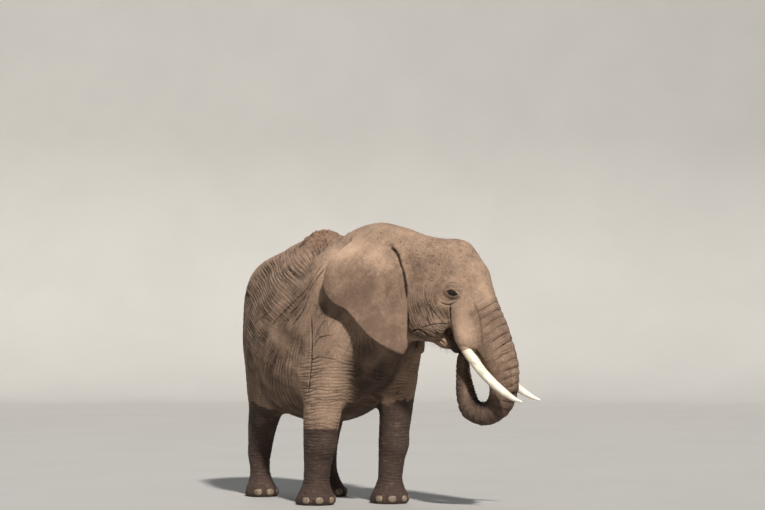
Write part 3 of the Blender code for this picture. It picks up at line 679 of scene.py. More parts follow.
# The thick edge of each lid: how far it runs beside the gap and stands out, its radius and its fillet
UPPER_LID = (0.0055, 0.0015, 0.0062, 0.010)
LOWER_LID = (0.0040, 0.0, 0.0035, 0.006)
EYE_REACH = 0.15             # what lies further from an eye isn't shaped by its lids
SOCKETS = (1.2, 1.5)         # heights between which the open ends of the sheaths lie
SOCKET_TOP = 1.40            # height up to which they are open
SOCKET_GAP = 0.004           # between the ivory and the skin round it


def make(name, points, faces):
    mesh = bpy.data.meshes.new(name)
    mesh.from_pydata(np.asarray(points, float).tolist(), [], faces)
    mesh.update()
    thing = bpy.data.objects.new(name, mesh)
    bpy.context.scene.collection.objects.link(thing)
    return thing


def bake(thing):
    """Applies the modifiers of an object."""
    graph = bpy.context.evaluated_depsgraph_get()
    mesh = bpy.data.meshes.new_from_object(thing.evaluated_get(graph))
    old = thing.data
    thing.modifiers.clear()
    thing.data = mesh
    bpy.data.meshes.remove(old)
    return thing


def read(items, field, width=1, kind=float):
    """One field of a mesh's items as an array, with a row for each item when it is wider than one."""
    values = np.empty(len(items) * width, kind)
    items.foreach_get(field, values)
    return values.reshape(-1, width) if width > 1 else values


def points_of(mesh):
    return read(mesh.vertices, "co", 3)


def edges_of(mesh):
    return read(mesh.edges, "vertices", 2, np.int32)


def corners_of(mesh):
    return read(mesh.loops, "vertex_index", 1, np.int32)


def place(mesh, points):
    mesh.vertices.foreach_set("co", points.ravel())
    mesh.update()


def ball(around, rings):
    """Points and faces of a unit ball."""
    bm = bmesh.new()
    bmesh.ops.create_uvsphere(bm, u_segments=around, v_segments=rings, radius=1.0)
    points = np.array([tuple(v.co) for v in bm.verts])
    faces = [tuple(v.index for v in f.verts) for f in bm.faces]
    bm.free()
    return points, faces


def nail_frame(name, around):
    """Centre of a toenail and its axes: outward, sideways, up."""
    st = STATIONS[name]
    x, y, a, b = through(st[:, 0], st[:, 1:], np.array([0.045]))[0]
    c, s = turned(around if "left" in name else -around)
    out = normed(np.array([c / a, s / b, 0]))
    centre = np.array([x + a * c, y + b * s, NAIL_HEIGHT]) - out * NAIL_DEPTH
    return centre, np.stack([out, [-out[1], out[0], 0], UPWARD], axis=1)


def all_nails():
    """The leg, number and place in degrees of every toenail."""
    for name in LEGS:
        for i, around in enumerate(FRONT_NAILS if "front" in name else HIND_NAILS):
            yield name, i, around


def relaxed(points, edges, weight=0.5):
    """Each point drawn towards the mean of its neighbours."""
    a, b = edges[:, 0], edges[:, 1]
    count = np.bincount(a, minlength=len(points)) + np.bincount(b, minlength=len(points))
    out = points.copy()
    for i in range(3):
        total = np.bincount(a, points[b, i], len(points)) + np.bincount(b, points[a, i], len(points))
        out[:, i] += weight * (total / np.maximum(count, 1) - points[:, i])
    return out


def balls():
    """Rough balls (centre, radii, turn) that fill the body, for the first mesh."""
    out = []
    t = np.array(TORSO)
    for x in np.linspace(t[0, 0], t[-1, 0], 16):
        top, low, half = through(t[:, 0], t[:, 1:], np.array([x]))[0]
        out.append(((x, 0, (top + low) / 2), (0.16, half, (top - low) / 2), np.eye(3)))
    for _, _, c, r, turn, _ in MASSES:
        out.append((c, r, np.eye(3) if turn is None else turn))
    out.append((from_head(TONGUE[0]), TONGUE[1], HEAD_TURN))
    for stations, count, where in ((TRUNK, 70, from_head), (TAIL, 60, np.array)):
        for x, y, z, r in spread(stations, count):
            out.append((where((x, y, z)), (r, r, r), np.eye(3)))
    for st in STATIONS.values():
        for z in np.linspace(0.0, st[-1, 0], 42):
            x, y, a, b = through(st[:, 0], st[:, 1:], np.array([z]))[0]
            out.append(((x, y, z), (a, b, 0.06), np.eye(3)))
    ang = ear_round(260)
    a, z = ear_place(ear_reach(ang) - EAR_THICK / 2, ang)
    for side in EARS:
        for along, spot in zip(a, from_ear(a, ear_bow(a, z), z, side)):
            r = 0.019 + EAR_ROOT * math.exp(-max(along, 0) / EAR_ROOT_REACH)
            out.append((spot, (r, r, r), np.eye(3)))
    return out


def fattened(points, faces, by):
    """A closed shell moved outwards, so that its thin rim isn't lost between the mesh's steps."""
    bm = bmesh.new()
    corners = [bm.verts.new(p) for p in points]
    for f in faces:
        bm.faces.new([corners[i] for i in f])
    bm.normal_update()
    outward = math.copysign(by, bm.calc_volume(signed=True))
    moved = np.array([tuple(v.co + v.normal * outward) for v in bm.verts])
    bm.free()
    return moved


def first_mesh():
    """The balls and both ears as one closed, even mesh."""
    unit, around = ball(20, 12)
    points, faces, count = [], [], 0
    for centre, radii, turn in balls():
        points.append((unit * radii) @ turn.T + centre)
        faces += [tuple(i + count for i in f) for f in around]
        count += len(unit)
    for side in EARS:
        shell, leaves = ear_shell(side)
        points.append(fattened(shell, leaves, 0.006))
        faces += [tuple(i + count for i in f) for f in leaves]
        count += len(shell)
    thing = make("skin", np.vstack(points), faces)
    remesh = thing.modifiers.new("even", "REMESH")
    remesh.mode = "VOXEL"
    remesh.voxel_size = COARSE
    return bake(thing)


def under(point, depth):
    """The place at a depth under the skin nearest to a point, and the way out."""
    p = np.array([point], float)
    for _ in range(12):
        p = onto(p)
    out = normed(slope_close(form_close, p, form_close(p))[0])
    return p[0] - out * depth, out


def eye_frame(side):
    """Centre of an eyeball, with its axes: out, ahead along the lids, and up across them."""
    centre, out = under(from_head((EYE[0], EYE[1] * side, EYE[2])), EYE_DEPTH)
    up = normed(UPWARD - out[2] * out)
    ahead = np.cross(up, out) * -side
    c, s = turned(LID_TILT)
    return centre, np.stack([out, ahead * c + up * s, up * c - ahead * s], axis=1)


EYES = {side: eye_frame(side) for side in SIDES}


def almond(t, w, half_length, half_height):
    """Distance to a lens shape: two arcs that meet at its corners."""
    radius = (half_length**2 + half_height**2) / (2 * half_height)
    return np.hypot(t, np.abs(w) + radius - half_height) - radius


def with_lids(total, q):
    """The form round one eye, for points seen from the eye: out, ahead and up."""
    out, ahead, up = q.T
    gap = almond(ahead, up + LID_DROP, *OPENING)
    lid = np.sqrt(out**2 + (ahead * 0.72) ** 2 + ((up - 0.004) * 0.90) ** 2) - LID_RADIUS
    total = smooth_union(total, lid, 0.036)
    for (beside, proud, thick, blend), beyond in ((UPPER_LID, -up - 0.002), (LOWER_LID, up)):
        roll = np.hypot(gap - beside, lid - proud) - thick + 0.5 * np.maximum(beyond, 0)
        total = smooth_union(total, roll, blend)
    gap = np.maximum(gap, EYE_RADIUS - 0.003 - np.sqrt(out**2 + (ahead * 0.80) ** 2 + up**2))
    return less(total, np.maximum(gap, -out), 0.003)


def skin_form(p):
    """The form with its eyelids, and with the sheaths open round the tusks."""
    total = form_close(p)
    for centre, axes in EYES.values():
        q = (p - centre) @ axes
        if np.abs(q).min(0).max() <= EYE_REACH:
            total = with_lids(total, q)
    q = to_head(p)
    if p[:, 2].min() < SOCKETS[1] and p[:, 2].max() > SOCKETS[0]:
        for side in SIDES:
            mirrored = q * (1, side, 1)
            socket = np.maximum(chain(mirrored, TUSK_LINE) - SOCKET_GAP, mirrored[:, 2] - SOCKET_TOP)
            total = less(total, socket, 0.008)
    return total


def halved(mesh):
    """A mesh of four-sided faces with each face split in four."""
    points, edges = points_of(mesh), edges_of(mesh)
    corners = corners_of(mesh).reshape(-1, 4)
    sides = read(mesh.loops, "edge_index", 1, np.int32).reshape(-1, 4)
    middles = points[corners].mean(1)
    middle = np.arange(len(corners)) + len(points) + len(edges)
    sides = sides + len(points)
    quads = [np.stack([corners[:, i], sides[:, i], middle, sides[:, i - 1]], axis=1) for i in range(4)]
    quads = np.concatenate(quads)
    out = bpy.data.meshes.new("halved")
    out.vertices.add(len(points) + len(edges) + len(middles))
    out.vertices.foreach_set("co", np.concatenate([points, points[edges].mean(1), middles]).ravel())
    out.loops.add(quads.size)
    out.loops.foreach_set("vertex_index", quads.ravel())
    out.polygons.add(len(quads))
    out.polygons.foreach_set("loop_start", np.arange(0, quads.size, 4))
    out.update(calc_edges=True)
    return out


def skin_mesh():
    """The skin without its wrinkles."""
    thing = first_mesh()
    points, edges = points_of(thing.data), edges_of(thing.data)
    for _ in range(4):
        points = onto(relaxed(points, edges, 0.7))
    place(thing.data, relaxed(points, edges, 0.3))
    thing.data = halved(thing.data)
    divide_near_eyes(thing.data)
    points, edges = points_of(thing.data), edges_of(thing.data)
    points = onto(relaxed(points, edges, 0.6), skin_form)
    few = np.flatnonzero(np.any([within(points, centre, 0.10) for centre, _ in EYES.values()], axis=0))
    for _ in range(4):
        points[few] = onto(relaxed(points, edges, 0.35)[few], skin_form)
    place(thing.data, points)
    return thing


def divide_near_eyes(mesh):
    """Splits the faces round each eye twice over, and those round the root of each tusk once."""
    bm = bmesh.new()
    bm.from_mesh(mesh)
    roots = [from_head((TUSK[1][0], TUSK[1][1] * side, TUSK[1][2])) for side in SIDES]
    zones = [(centre, reach) for reach in (0.085, 0.060) for centre, _ in EYES.values()]
    zones += [(root, 0.09) for root in roots]
    for centre, reach in zones:
        centre = Vector(centre)
        edges = [e for e in bm.edges if (e.verts[0].co - centre).length < reach]
        bmesh.ops.subdivide_edges(bm, edges=edges, cuts=1, use_grid_fill=True)
    bm.to_mesh(mesh)
    bm.free()


# ---------------------------------------------------------------- wrinkles
# Folds that can be told one by one, with their width, depth and how much shadow is painted into them.
# Those of the head are in its own frame, on its left side.
HEAD_FOLDS = [
    # before the ear
    ([(-0.05, 0.23, 2.27), (0.05, 0.29, 2.16), (0.10, 0.29, 2.04), (0.12, 0.28, 1.80)], 0.0160, 0.022, 1.0),
    ([(0.12, 0.28, 1.77), (0.11, 0.23, 1.65), (0.10, 0.19, 1.52)], 0.008, 0.010, 0.8),
    # over the lid and the brow
    ([(0.46, 0.27, 1.88), (0.52, 0.26, 1.92), (0.60, 0.23, 1.86)], 0.0035, 0.0045, 0.35),
    ([(0.46, 0.27, 1.92), (0.52, 0.25, 1.94), (0.58, 0.23, 1.92)], 0.006, 0.0040, 0.30),
    # under and behind the eye
    ([(0.40, 0.26, 1.78), (0.48, 0.24, 1.75), (0.57, 0.24, 1.78)], 0.0050, 0.0065, 0.55),
    ([(0.42, 0.27, 1.81), (0.51, 0.24, 1.78)], 0.0035, 0.0035, 0.2),
    ([(0.41, 0.27, 1.84), (0.47, 0.27, 1.88)], 0.0030, 0.0035, 0.3),
    ([(0.40, 0.27, 1.81), (0.46, 0.27, 1.85)], 0.0030, 0.0030, 0.2),
    # behind the sheath of the tusk
    ([(0.50, 0.24, 1.75), (0.48, 0.20, 1.64), (0.50, 0.15, 1.47)], 0.0075, 0.016, 0.85),
    # the mouth, the lip and the jaw
    ([(0.12, 0.19, 1.51), (0.20, 0.21, 1.54), (0.30, 0.17, 1.48), (0.40, 0.05, 1.41)], 0.0075, 0.014, 0.95),
    ([(0.14, 0.19, 1.51), (0.26, 0.14, 1.46), (0.36, 0.06, 1.41)], 0.0050, 0.0065, 0.5),
    ([(0.21, 0.22, 1.55), (0.32, 0.22, 1.58), (0.40, 0.19, 1.59), (0.48, 0.17, 1.58)], 0.0050, 0.0075, 0.6),
    # the cheek
    ([(0.29, 0.23, 1.95), (0.27, 0.25, 1.87), (0.31, 0.26, 1.74), (0.35, 0.22, 1.60)], 0.0045, 0.0060, 0.4),
    ([(0.29, 0.23, 1.95), (0.38, 0.22, 1.96)], 0.0045, 0.0035, 0.15),
    ([(0.32, 0.27, 1.83), (0.34, 0.25, 1.71), (0.42, 0.18, 1.60), (0.47, 0.17, 1.59)], 0.0045, 0.0065, 0.45),
    ([(0.42, 0.25, 1.74), (0.45, 0.19, 1.67), (0.47, 0.18, 1.62)], 0.0040, 0.0050, 0.4),
    ([(0.39, 0.25, 1.72), (0.42, 0.19, 1.64), (0.45, 0.17, 1.61)], 0.0040, 0.0050, 0.4),
    ([(0.16, 0.25, 1.76), (0.20, 0.24, 1.69), (0.25, 0.23, 1.62)], 0.0045, 0.0050, 0.35),
    ([(0.20, 0.25, 1.75), (0.24, 0.24, 1.66), (0.30, 0.22, 1.59)], 0.0045, 0.0050, 0.35),
    # before the sheath, and beside the tusk
    ([(0.69, 0.20, 1.78), (0.75, 0.19, 1.63), (0.76, 0.17, 1.40)], 0.014, 0.0035, 0.0),
    ([(0.69, 0.17, 1.38), (0.72, 0.13, 1.32), (0.74, 0.11, 1.27)], 0.008, 0.010, 0.6),
    # the crown
    ([(0.09, 0.22, 2.27), (0.26, 0.17, 2.26)], 0.0045, 0.0045, 0.15),
]
BODY_FOLDS = [
    # flank against the foreleg
    ([(0.58, 0.50, 1.66), (0.64, 0.53, 1.41), (0.62, 0.54, 1.16), (0.57, 0.49, 0.96)], 0.011, 0.011, 0.35),
    # behind the shoulder
    ([(0.58, 0.40, 2.11), (0.48, 0.47, 1.93), (0.31, 0.54, 1.78), (0.07, 0.63, 1.57)], 0.007, 0.0075, 0.35),
    ([(0.64, 0.39, 2.09), (0.51, 0.48, 1.90), (0.38, 0.54, 1.74), (0.27, 0.60, 1.59)], 0.008, 0.0090, 0.45),
    ([(0.52, 0.48, 1.88), (0.47, 0.53, 1.70), (0.35, 0.59, 1.55)], 0.007, 0.0080, 0.4),
    # upper rump and belly
    ([(-0.43, 0.43, 2.07), (-0.04, 0.54, 1.90), (0.21, 0.56, 1.78)], 0.005, 0.0040, 0.12),
    ([(-0.26, 0.42, 2.09), (0.11, 0.49, 1.97), (0.33, 0.51, 1.85)], 0.005, 0.0045, 0.15),
    ([(-0.44, 0.46, 1.99), (-0.05, 0.56, 1.83), (0.11, 0.58, 1.76)], 0.005, 0.0040, 0.12),
    ([(-0.28, 0.61, 1.58), (0.02, 0.60, 1.71), (0.06, 0.59, 1.76)], 0.005, 0.0050, 0.25),
    # shoulder and elbow
    ([(0.66, 0.53, 1.38), (0.74, 0.52, 1.47), (0.87, 0.46, 1.49)], 0.006, 0.0080, 0.5),
    ([(0.66, 0.53, 1.44), (0.75, 0.49, 1.60), (0.80, 0.47, 1.62)], 0.005, 0.0060, 0.35),
    ([(0.64, 0.51, 1.62), (0.74, 0.46, 1.71)], 0.005, 0.0050, 0.25),
    ([(0.62, 0.54, 1.26), (0.74, 0.52, 1.30), (0.88, 0.41, 1.28)], 0.005, 0.0050, 0.25),
]
FAN = (0.66, 2.03)            # where the flank's folds run together, forward and up
SLANT = math.radians(25.5)    # how the folds of the upper rump run down towards the front


def rows(*columns):
    """Columns side by side; a single number fills its column."""
    return np.stack(np.broadcast_arrays(*columns), axis=1)


def streaks(across, along, aside, spacing, length, seed):
    """A value that is zero on lines about one spacing apart, which wander, fork and end."""
    drift = noise(rows(across / (7 * spacing), along / (1.5 * length), aside / length + 3.7 * seed), seed)
    cells = noise(rows(across / (1.7 * spacing), along / length, aside / length - 5.3 * seed), seed + 1)
    return 0.7 * np.sin(np.pi * across / spacing + 2.6 * drift) + 0.95 * cells


def sag(value, sharp=2.2):
    """How far the skin sinks beside a line where a value is zero, from 0 on a pad to 1 on the line."""
    return (1.0 - np.clip(np.abs(value), 0.0, 1.0)) ** sharp


def nearest_on(line, p):
    """Distance to a polyline, the length along it to the nearest place, and the index of its piece."""
    best, at, piece = np.full(len(p), 1e9), np.zeros(len(p)), np.zeros(len(p), int)
    done = 0.0
    for i, (a, b) in enumerate(zip(line[:-1], line[1:])):
        ab = b - a
        long = np.linalg.norm(ab)
        t = np.clip(((p - a) @ ab) / long**2, 0, 1)
        d = np.sqrt(((p - a - t[:, None] * ab) ** 2).sum(1))
        closer = d < best
        best[closer], at[closer], piece[closer] = d[closer], (done + t * long)[closer], i
        done += long
    return best, at, piece


# Creases round the eye: reach from its centre, width, depth, above (1) or below (-1) the gap
LID_CREASES = (
    (0.0430, 0.0026, 0.0042, 1), (0.0500, 0.0026, 0.0022, 1), (0.0590, 0.0034, 0.0026, 1),
    (0.0390, 0.0020, 0.0020, -1), (0.0480, 0.0028, 0.0034, -1), (0.0590, 0.0034, 0.0030, -1),
)
BORDER = 0.03               # metres over which one zone of the skin passes into the next
DEPTHS = (-0.004, 0.024)    # between these the skin may sink
# Centre and half sizes of the rough hump and of the knobs over the spine
HUMP = ((0.10, -0.08, 2.38), (0.38, 0.30, 0.15))
SPINE = ((-0.15, 0, 2.30), (0.42, 0.13, 0.30))


def most(values, some, least):
    """Raises some of the values to at least the given ones."""
    values[some] = np.maximum(values[some], least)


def mound(p, centre, radii):
    """1 at a centre, falling off smoothly all round it."""
    return np.exp(-(((p - centre) / radii) ** 2).sum(1))


def on_sheath(h, forward, width, height, inner):
    """Nearness to the sheaths of the tusks, for points in the head's frame."""
    near = bell(h[:, 0], forward, width) * bell(h[:, 2], 1.56, height)
    return near * ramp(np.abs(h[:, 1]), inner, 0.17)


def on_crown(u, z, low):
    """1 on the crown and the forehead, forward and height being given in the head's frame."""
    return np.clip(ramp(z, low, low + 0.16) + ramp(u, 0.50, 0.58) * ramp(z, 1.60, 1.75), 0, 1)


class Relief:
    """The skin's points with the depth of its wrinkles, gathered zone by zone."""

    def __init__(self, points, normals):
        self.p, self.n = points, normals
        self.h = to_head(points)
        apart = {group: np.full(len(points), FAR) for group in GROUPS}
        for some in cubes(points):
            for group, d in distances(points[some]).items():
                apart[group][some] = d
        nearest = np.min(list(apart.values()), axis=0)
        share = {group: np.exp(-(d - nearest) / BORDER) for group, d in apart.items()}
        total = sum(share.values())
        self.share = {group: w / total for group, w in share.items()}
        # crease and fine say how much shade is painted along the creases and the fine cracks; shadow is
        # painted shadow in folds and hollows
        self.sink, self.crease, self.fine, self.shadow, self.grained = np.zeros((5, len(points)))
        self.grain = np.zeros((len(points), 3))

    def cut(self, some, weight, value, depth, sharp=2.2, dark=1.0, thin=0.24):
        """Sinks the skin beside the zeros of a value, on some of the points. Shade is painted along those
        lines as crease; dark says how much and thin how wide.
        """
        self.sink[some] += weight * depth * sag(value, sharp)
        most(self.crease, some, bell(value, 0.0, thin) * np.clip(weight * dark, 0, 1))

    def score(self, some, sets):
        """Cuts sets of wandering lines. Each set has its weight, the way it runs (across, along, aside),
        its spacing, length and seed, and then depth, sharp, dark and thin as in cut().
        """
        for weight, way, spacing, length, seed, *how in sets:
            self.cut(some, weight, streaks(*way, spacing, length, seed), *how)

    def lay(self, some, weight, way):
        """Keeps which way the finest lines run, where this zone is the strongest."""
        better = weight > self.grained[some]
        i = some[better]
        self.grain[i] = rows(*way)[better]
        self.grained[i] = weight[better]

    def where(self, weight, least=0.03):
        """The points where a weight counts, and the weight there."""
        some = np.flatnonzero(weight > least)
        return some, weight[some]

    def patchy(self, some, size, seed):
        """Strong in some places and faint in others."""
        return 0.30 + 0.70 * ramp(noise(self.p[some] / size, seed), -0.35, 0.45)

    def cells(self, some, size, bent, wide, seed, other):
        """Nearness to the edges of small cells, which are bent by wider noise."""
        p = self.p[some]
        return cracks(p / size + bent * noise(p / wide, seed)[:, None], other)

    def flank(self):
        """Folds that fan out from behind the shoulder, and slanting ones over the rump."""
        some, w = self.where(self.share["torso"] + self.share["neck"])
        x, y, z = self.p[some].T
        back, down = FAN[0] - x, FAN[1] - z
        angle, reach = np.arctan2(down, back), np.hypot(down, back)
        c, s = math.cos(SLANT), math.sin(SLANT)
        across, along = z * c + x * s, x * c - z * s
        middle = 0.35 + 0.65 * (1 - ramp(np.abs(self.n[some, 2]), 0.75, 0.97))
        fan = ramp(angle, 0.40, 0.66) * ramp(reach, 0.10, 0.34) * (1 - ramp(angle, 1.75, 2.2))
        slant = 1 - ramp(angle + 0.25 * x, 0.62, 0.95)
        slant = slant * ramp(reach, 0.12, 0.40) * (1 - ramp(x, 0.45, 0.60))
        fan, slant, front = w * fan, w * slant, w * ramp(x, 0.62, 0.80)
        far = ramp(reach, 0.3, 0.7)
        fanned, slanted, leaning = (angle * 0.85, reach, y), (across, along, y), (x - 0.45 * z, z, y)
        strong, faint = self.patchy(some, 0.22, 33), self.patchy(some, 0.11, 35)
        self.score(some, (
            (fan * middle * strong, fanned, 0.030, 0.36, 11, 0.0120, 2.3, 1.0, 0.54),
            (fan * faint, fanned, 0.0165, 0.20, 13, 0.0050, 1.8, 0.9, 0.40),
            (fan * faint * far, (reach, angle * 0.85, y), 0.019, 0.085, 15, 0.0036, 1.8, 0.8),
            (slant * middle * strong, slanted, 0.028, 0.30, 17, 0.0115, 2.3, 1.0, 0.54),
            (slant * faint, slanted, 0.0160, 0.17, 19, 0.0048, 1.8, 0.9, 0.40),
            (slant * faint, (along, across, y), 0.018, 0.08, 21, 0.0036, 1.8, 0.8),
            (front * strong, leaning, 0.026, 0.28, 23, 0.0024, 2.4),
            (front * faint, (z + 0.3 * x, y, x), 0.020, 0.14, 25, 0.0018, 1.8, 0.5),
        ))
        for weight, way in ((fan, fanned), (slant, slanted), (front, leaning)):
            self.lay(some, weight, way)
        cells = self.cells(some, 0.030, 0.15, 0.09, 29, 31)
        self.sink[some] += w * 0.0016 * cells
        most(self.fine, some, w * cells)

    def leg(self, name):
        """Folds round a leg, which rise towards the shoulder and crowd at the ankle."""
        some, w = self.where(self.share[name])
        x, y, z = self.p[some].T
        st = through(STATIONS[name][:, 0], STATIONS[name][:, 1:], z)
        around = np.arctan2(y - st[:, 1], x - st[:, 0]) * 0.17
        seed = 41 + 10 * list(LEGS).index(name)
        if "front" in name:
            joint, lifted = 0.55, z - 0.16 * ramp(x, 0.62, 0.90) * ramp(z, 1.20, 1.45)
        else:
            joint, lifted = 0.42, z + 0.10 * ramp(z, 0.9, 1.3) * x
        lifted = lifted + 0.035 * noise(rows(x / 0.30, y / 0.30, z / 0.45), seed + 1) * ramp(z, 0.25, 0.6)
        strong, faint = self.patchy(some, 0.15, seed + 4), self.patchy(some, 0.08, seed + 6)
        bend, high, ankle = bell(z, joint, 0.14), ramp(z, 0.75, 1.15), bell(z, 0.22, 0.07)
        level, upright = (lifted, around, x * 0.4), (around, lifted, x * 0.4)
        deep = 0.0040 + 0.0038 * high + 0.0026 * bend
        self.score(some, (
            (w * strong, level, 0.027, 0.14, seed, deep, 2.5, 0.75 + 0.25 * high, 0.34),
            (w * faint, level, 0.0145, 0.07, seed + 3, 0.0019 + 0.0010 * ankle, 1.8, 0.5),
            (w * faint * (1 - ankle), upright, 0.020, 0.07, seed + 8, 0.0014, 1.8, 0.4),
            (w * ankle, (z, around, x), 0.024, 0.24, seed + 5, 0.0045, 2.4),
        ))
        self.lay(some, w, level)
        cells = self.cells(some, 0.028, 0.2, 0.08, seed, seed + 7)
        self.sink[some] += w * 0.0015 * cells
        most(self.fine, some, w * cells)

    def trunk(self):
        """Rings down the trunk, closer together towards its tip, with finer lines between them."""
        some, w = self.where(self.share["trunk"])
        q = self.h[some]
        line = TRUNK_LINE[:, :3]
        _, s, piece = nearest_on(line, q)
        run = np.gradient(line, axis=0)[piece]
        run /= np.linalg.norm(run, axis=1)[:, None]
        outer = np.stack([-run[:, 2], np.zeros(len(q)), run[:, 0]], axis=1)
        off = q - line[piece]
        off -= (off * run).sum(1)[:, None] * run
        off /= np.linalg.norm(off, axis=1)[:, None] + TINY
        facing = (off * outer).sum(1)
        turn = np.arctan2(off[:, 1], facing)
        # one more fold for every step of s, which shortens towards the tip; on the sides the folds lie lower
        top, long, first_step, shorter = 0.20, 2.0, 0.076, 0.046
        s = s - 0.030 * np.clip(1 - facing, 0, 1.3) * (1 - ramp(s, 0.75, 1.25))
        t = np.clip((s - top) / long, -0.2, 1.0)
        spacing = first_step - shorter * t
        count = (s - top) / np.maximum((first_step + spacing) / 2, 0.02)
        front, rear = ramp(facing, -0.1, 0.5), ramp(-facing, 0.2, 0.8)
        begins = ramp(s, 0.16, 0.30)
        wobble = noise(rows(turn * 0.9, s / 0.21, 0.5), 83)
        small = noise(rows(turn * 2.6, s / 0.05, 0.5), 85)
        uneven = 0.45 + 0.55 * ramp(noise(rows(turn * 1.2, s / 0.10, 1.5), 82), -0.4, 0.3)
        rings = begins * uneven * (0.25 + 0.75 * front)
        value = np.sin(np.pi * (count + 0.34 * wobble + 0.10 * small))
        self.cut(some, w * rings, value, 0.0190 - 0.0110 * t, 3.2, 1.0, 0.17)
        most(self.shadow, some, 0.75 * w * rings * bell(value, 0.0, 0.13))
        value = np.sin(np.pi * (2.0 * count + 0.5 + 0.50 * wobble + 0.30 * small)) + 0.5 * small
        self.cut(some, w * begins * uneven, value, 0.0056 - 0.0022 * t, 2.6, 0.8, 0.15)
        value = np.sin(np.pi * (4.0 * count + 0.9 * wobble + 0.5 * small)) + 0.6 * small
        self.cut(some, w * begins, value, 0.0020, 2.0, 0.5, 0.2)
        level, lengthwise = (s, turn * 0.13, 0.0), (turn * 0.13, s, 0.0)
        self.score(some, (
            (w * ramp(s, 0.0, 0.2), level, 0.014, 0.10, 87, 0.0016, 1.8, 0.4),
            (w * begins * (0.35 + 0.65 * rear), lengthwise, 0.022, 0.12, 89, 0.0018, 1.8, 0.4),
        ))
        self.lay(some, w * begins, level)
        inner = ramp(-facing, 0.30, 0.70) * ramp(s, 1.0, 1.2)
        self.cut(some, w * inner, np.sin(np.pi * s / 0.030 + 0.9 * small), 0.0080, 1.4, 0.9, 0.3)
        most(self.shadow, some, 0.6 * w * inner)
        self.sink[some] -= w * 0.0020 * noise(rows(turn * 1.3, s / 0.11, 2.5), 91)

    def head(self):
        """Creases round the cheek, and a pebbled crown and forehead."""
        some, w = self.where(self.share["head"] + self.share["neck"] * ramp(self.h[:, 0], -0.35, -0.1))
        u, v, z = self.h[some].T
        v = np.abs(v)
        du, dz = u - 0.52, (z - 1.80) * 0.8
        reach, angle = np.hypot(du, dz), np.arctan2(dz, -du)
        cheek = ramp(v, 0.10, 0.20) * (1 - ramp(u, 0.46, 0.53)) * (1 - ramp(z, 1.92, 2.06))
        cheek *= ramp(reach, 0.10, 0.16)
        cheek = w * cheek
        crown = on_crown(u, z, 1.86)
        jaw = w * ((1 - ramp(z, 1.52, 1.60)) * (1 - ramp(u, 0.46, 0.54)))
        strong, faint = self.patchy(some, 0.10, 102), self.patchy(some, 0.05, 104)
        bent = reach + 0.02 * noise(self.h[some] / 0.16, 106)
        round_eye = (reach, angle * 0.25, v)
        self.score(some, (
            (cheek * strong, (bent, angle * 0.25, v), 0.019, 0.15, 101, 0.0066, 2.3, 1.0, 0.36),
            (cheek * faint, round_eye, 0.010, 0.08, 103, 0.0026, 1.8, 0.65),
            (cheek * faint, (z + 0.3 * u, u, v), 0.017, 0.06, 105, 0.0014, 1.8, 0.4),
        ))
        self.lay(some, cheek, round_eye)
        for way, seed in ((35, 107), (-48, 109), (85, 111)):
            c, s = turned(way)
            slanting = (z * c + (u - 0.6 * v) * s, (u - 0.6 * v) * c - z * s, v)
            self.score(some, ((w * crown * faint, slanting, 0.021, 0.06, seed, 0.0022, 2.0, 0.6),))
        # pits on the crown and forehead, sunk and with shade painted into them as crease
        pits = ramp(noise(self.h[some] / 0.016, 121), 0.30, 0.62)
        self.sink[some] += w * crown * 0.0034 * pits
        most(self.crease, some, w * crown * 0.8 * pits)
        self.score(some, (
            (jaw, (z + 0.45 * u, u, v), 0.017, 0.10, 113, 0.0040, 2.2, 0.9),
            (jaw * faint, (u - 0.45 * z, z, v), 0.017, 0.05, 119, 0.0020, 1.8, 0.5),
        ))
        cells = self.cells(some, 0.022, 0.2, 0.07, 115, 117)
        self.sink[some] += w * 0.0010 * cells * (0.4 + 0.6 * crown)
        most(self.fine, some, w * cells * (0.5 + 0.5 * crown))

    def ears(self):
        """Faint lines on the flaps, and a lumpy rim."""
        for side in EARS:
            some, w = self.where(self.share["ear_" + side])
            a, c, z = to_ear(self.p[some], side)
            self.score(some, (
                (w * self.patchy(some, 0.16, 132), (a + 0.25 * z, z, c), 0.035, 0.22, 131, 0.0006, 1.3, 0.08),
                (w * self.patchy(some, 0.12, 134), (z - 0.5 * a, a, c), 0.030, 0.16, 133, 0.0006, 1.3, 0.08),
            ))
            rim = ramp(past_edge(a, z), -0.07, -0.015)
            self.sink[some] += w * rim * 0.0025 * noise(rows(a / 0.05, z / 0.05, c / 0.1), 137)

    def tail(self):
        """Rings down the tail."""
        some, w = self.where(self.share["tail"])
        x, y, z = self.p[some].T
        around = np.arctan2(y + 0.02, x + 1.08) * 0.04
        weight = w * ramp(-x, 0.80, 0.95)
        self.score(some, ((weight, (z, around, x), 0.020, 0.09, 141, 0.0022, 1.7, 0.5),))

    def fold(self, line, mirrored, width, depth, dark):
        """One fold along a line, for points seen from the line's own side, with shade painted along it as
        crease and as shadow; dark says how much shadow.
        """
        low, high = line.min(0) - 5 * width, line.max(0) + 5 * width
        some = np.flatnonzero(np.all((mirrored > low) & (mirrored < high), axis=1))
        q = mirrored[some]
        d, at, _ = nearest_on(line, q)
        total = np.linalg.norm(np.diff(line, axis=0), axis=1).sum()
        d = d + 0.45 * width * noise(q / 0.03, 151)
        own = width * (0.75 + 0.45 * noise(q / 0.06, 153))
        ends = ramp(at, 0.0, 0.05) * ramp(total - at, 0.0, 0.06)
        w = bell(d, 0.0, own) * (0.15 + 0.85 * ends)
        self.sink[some] += depth * w
        self.sink[some] -= 0.20 * depth * bell(np.abs(d), 2.2 * width, width) * ends
        most(self.crease, some, np.clip(w * 1.3, 0, 1) * min(1, depth / 0.007))
        most(self.shadow, some, dark * w**1.5)

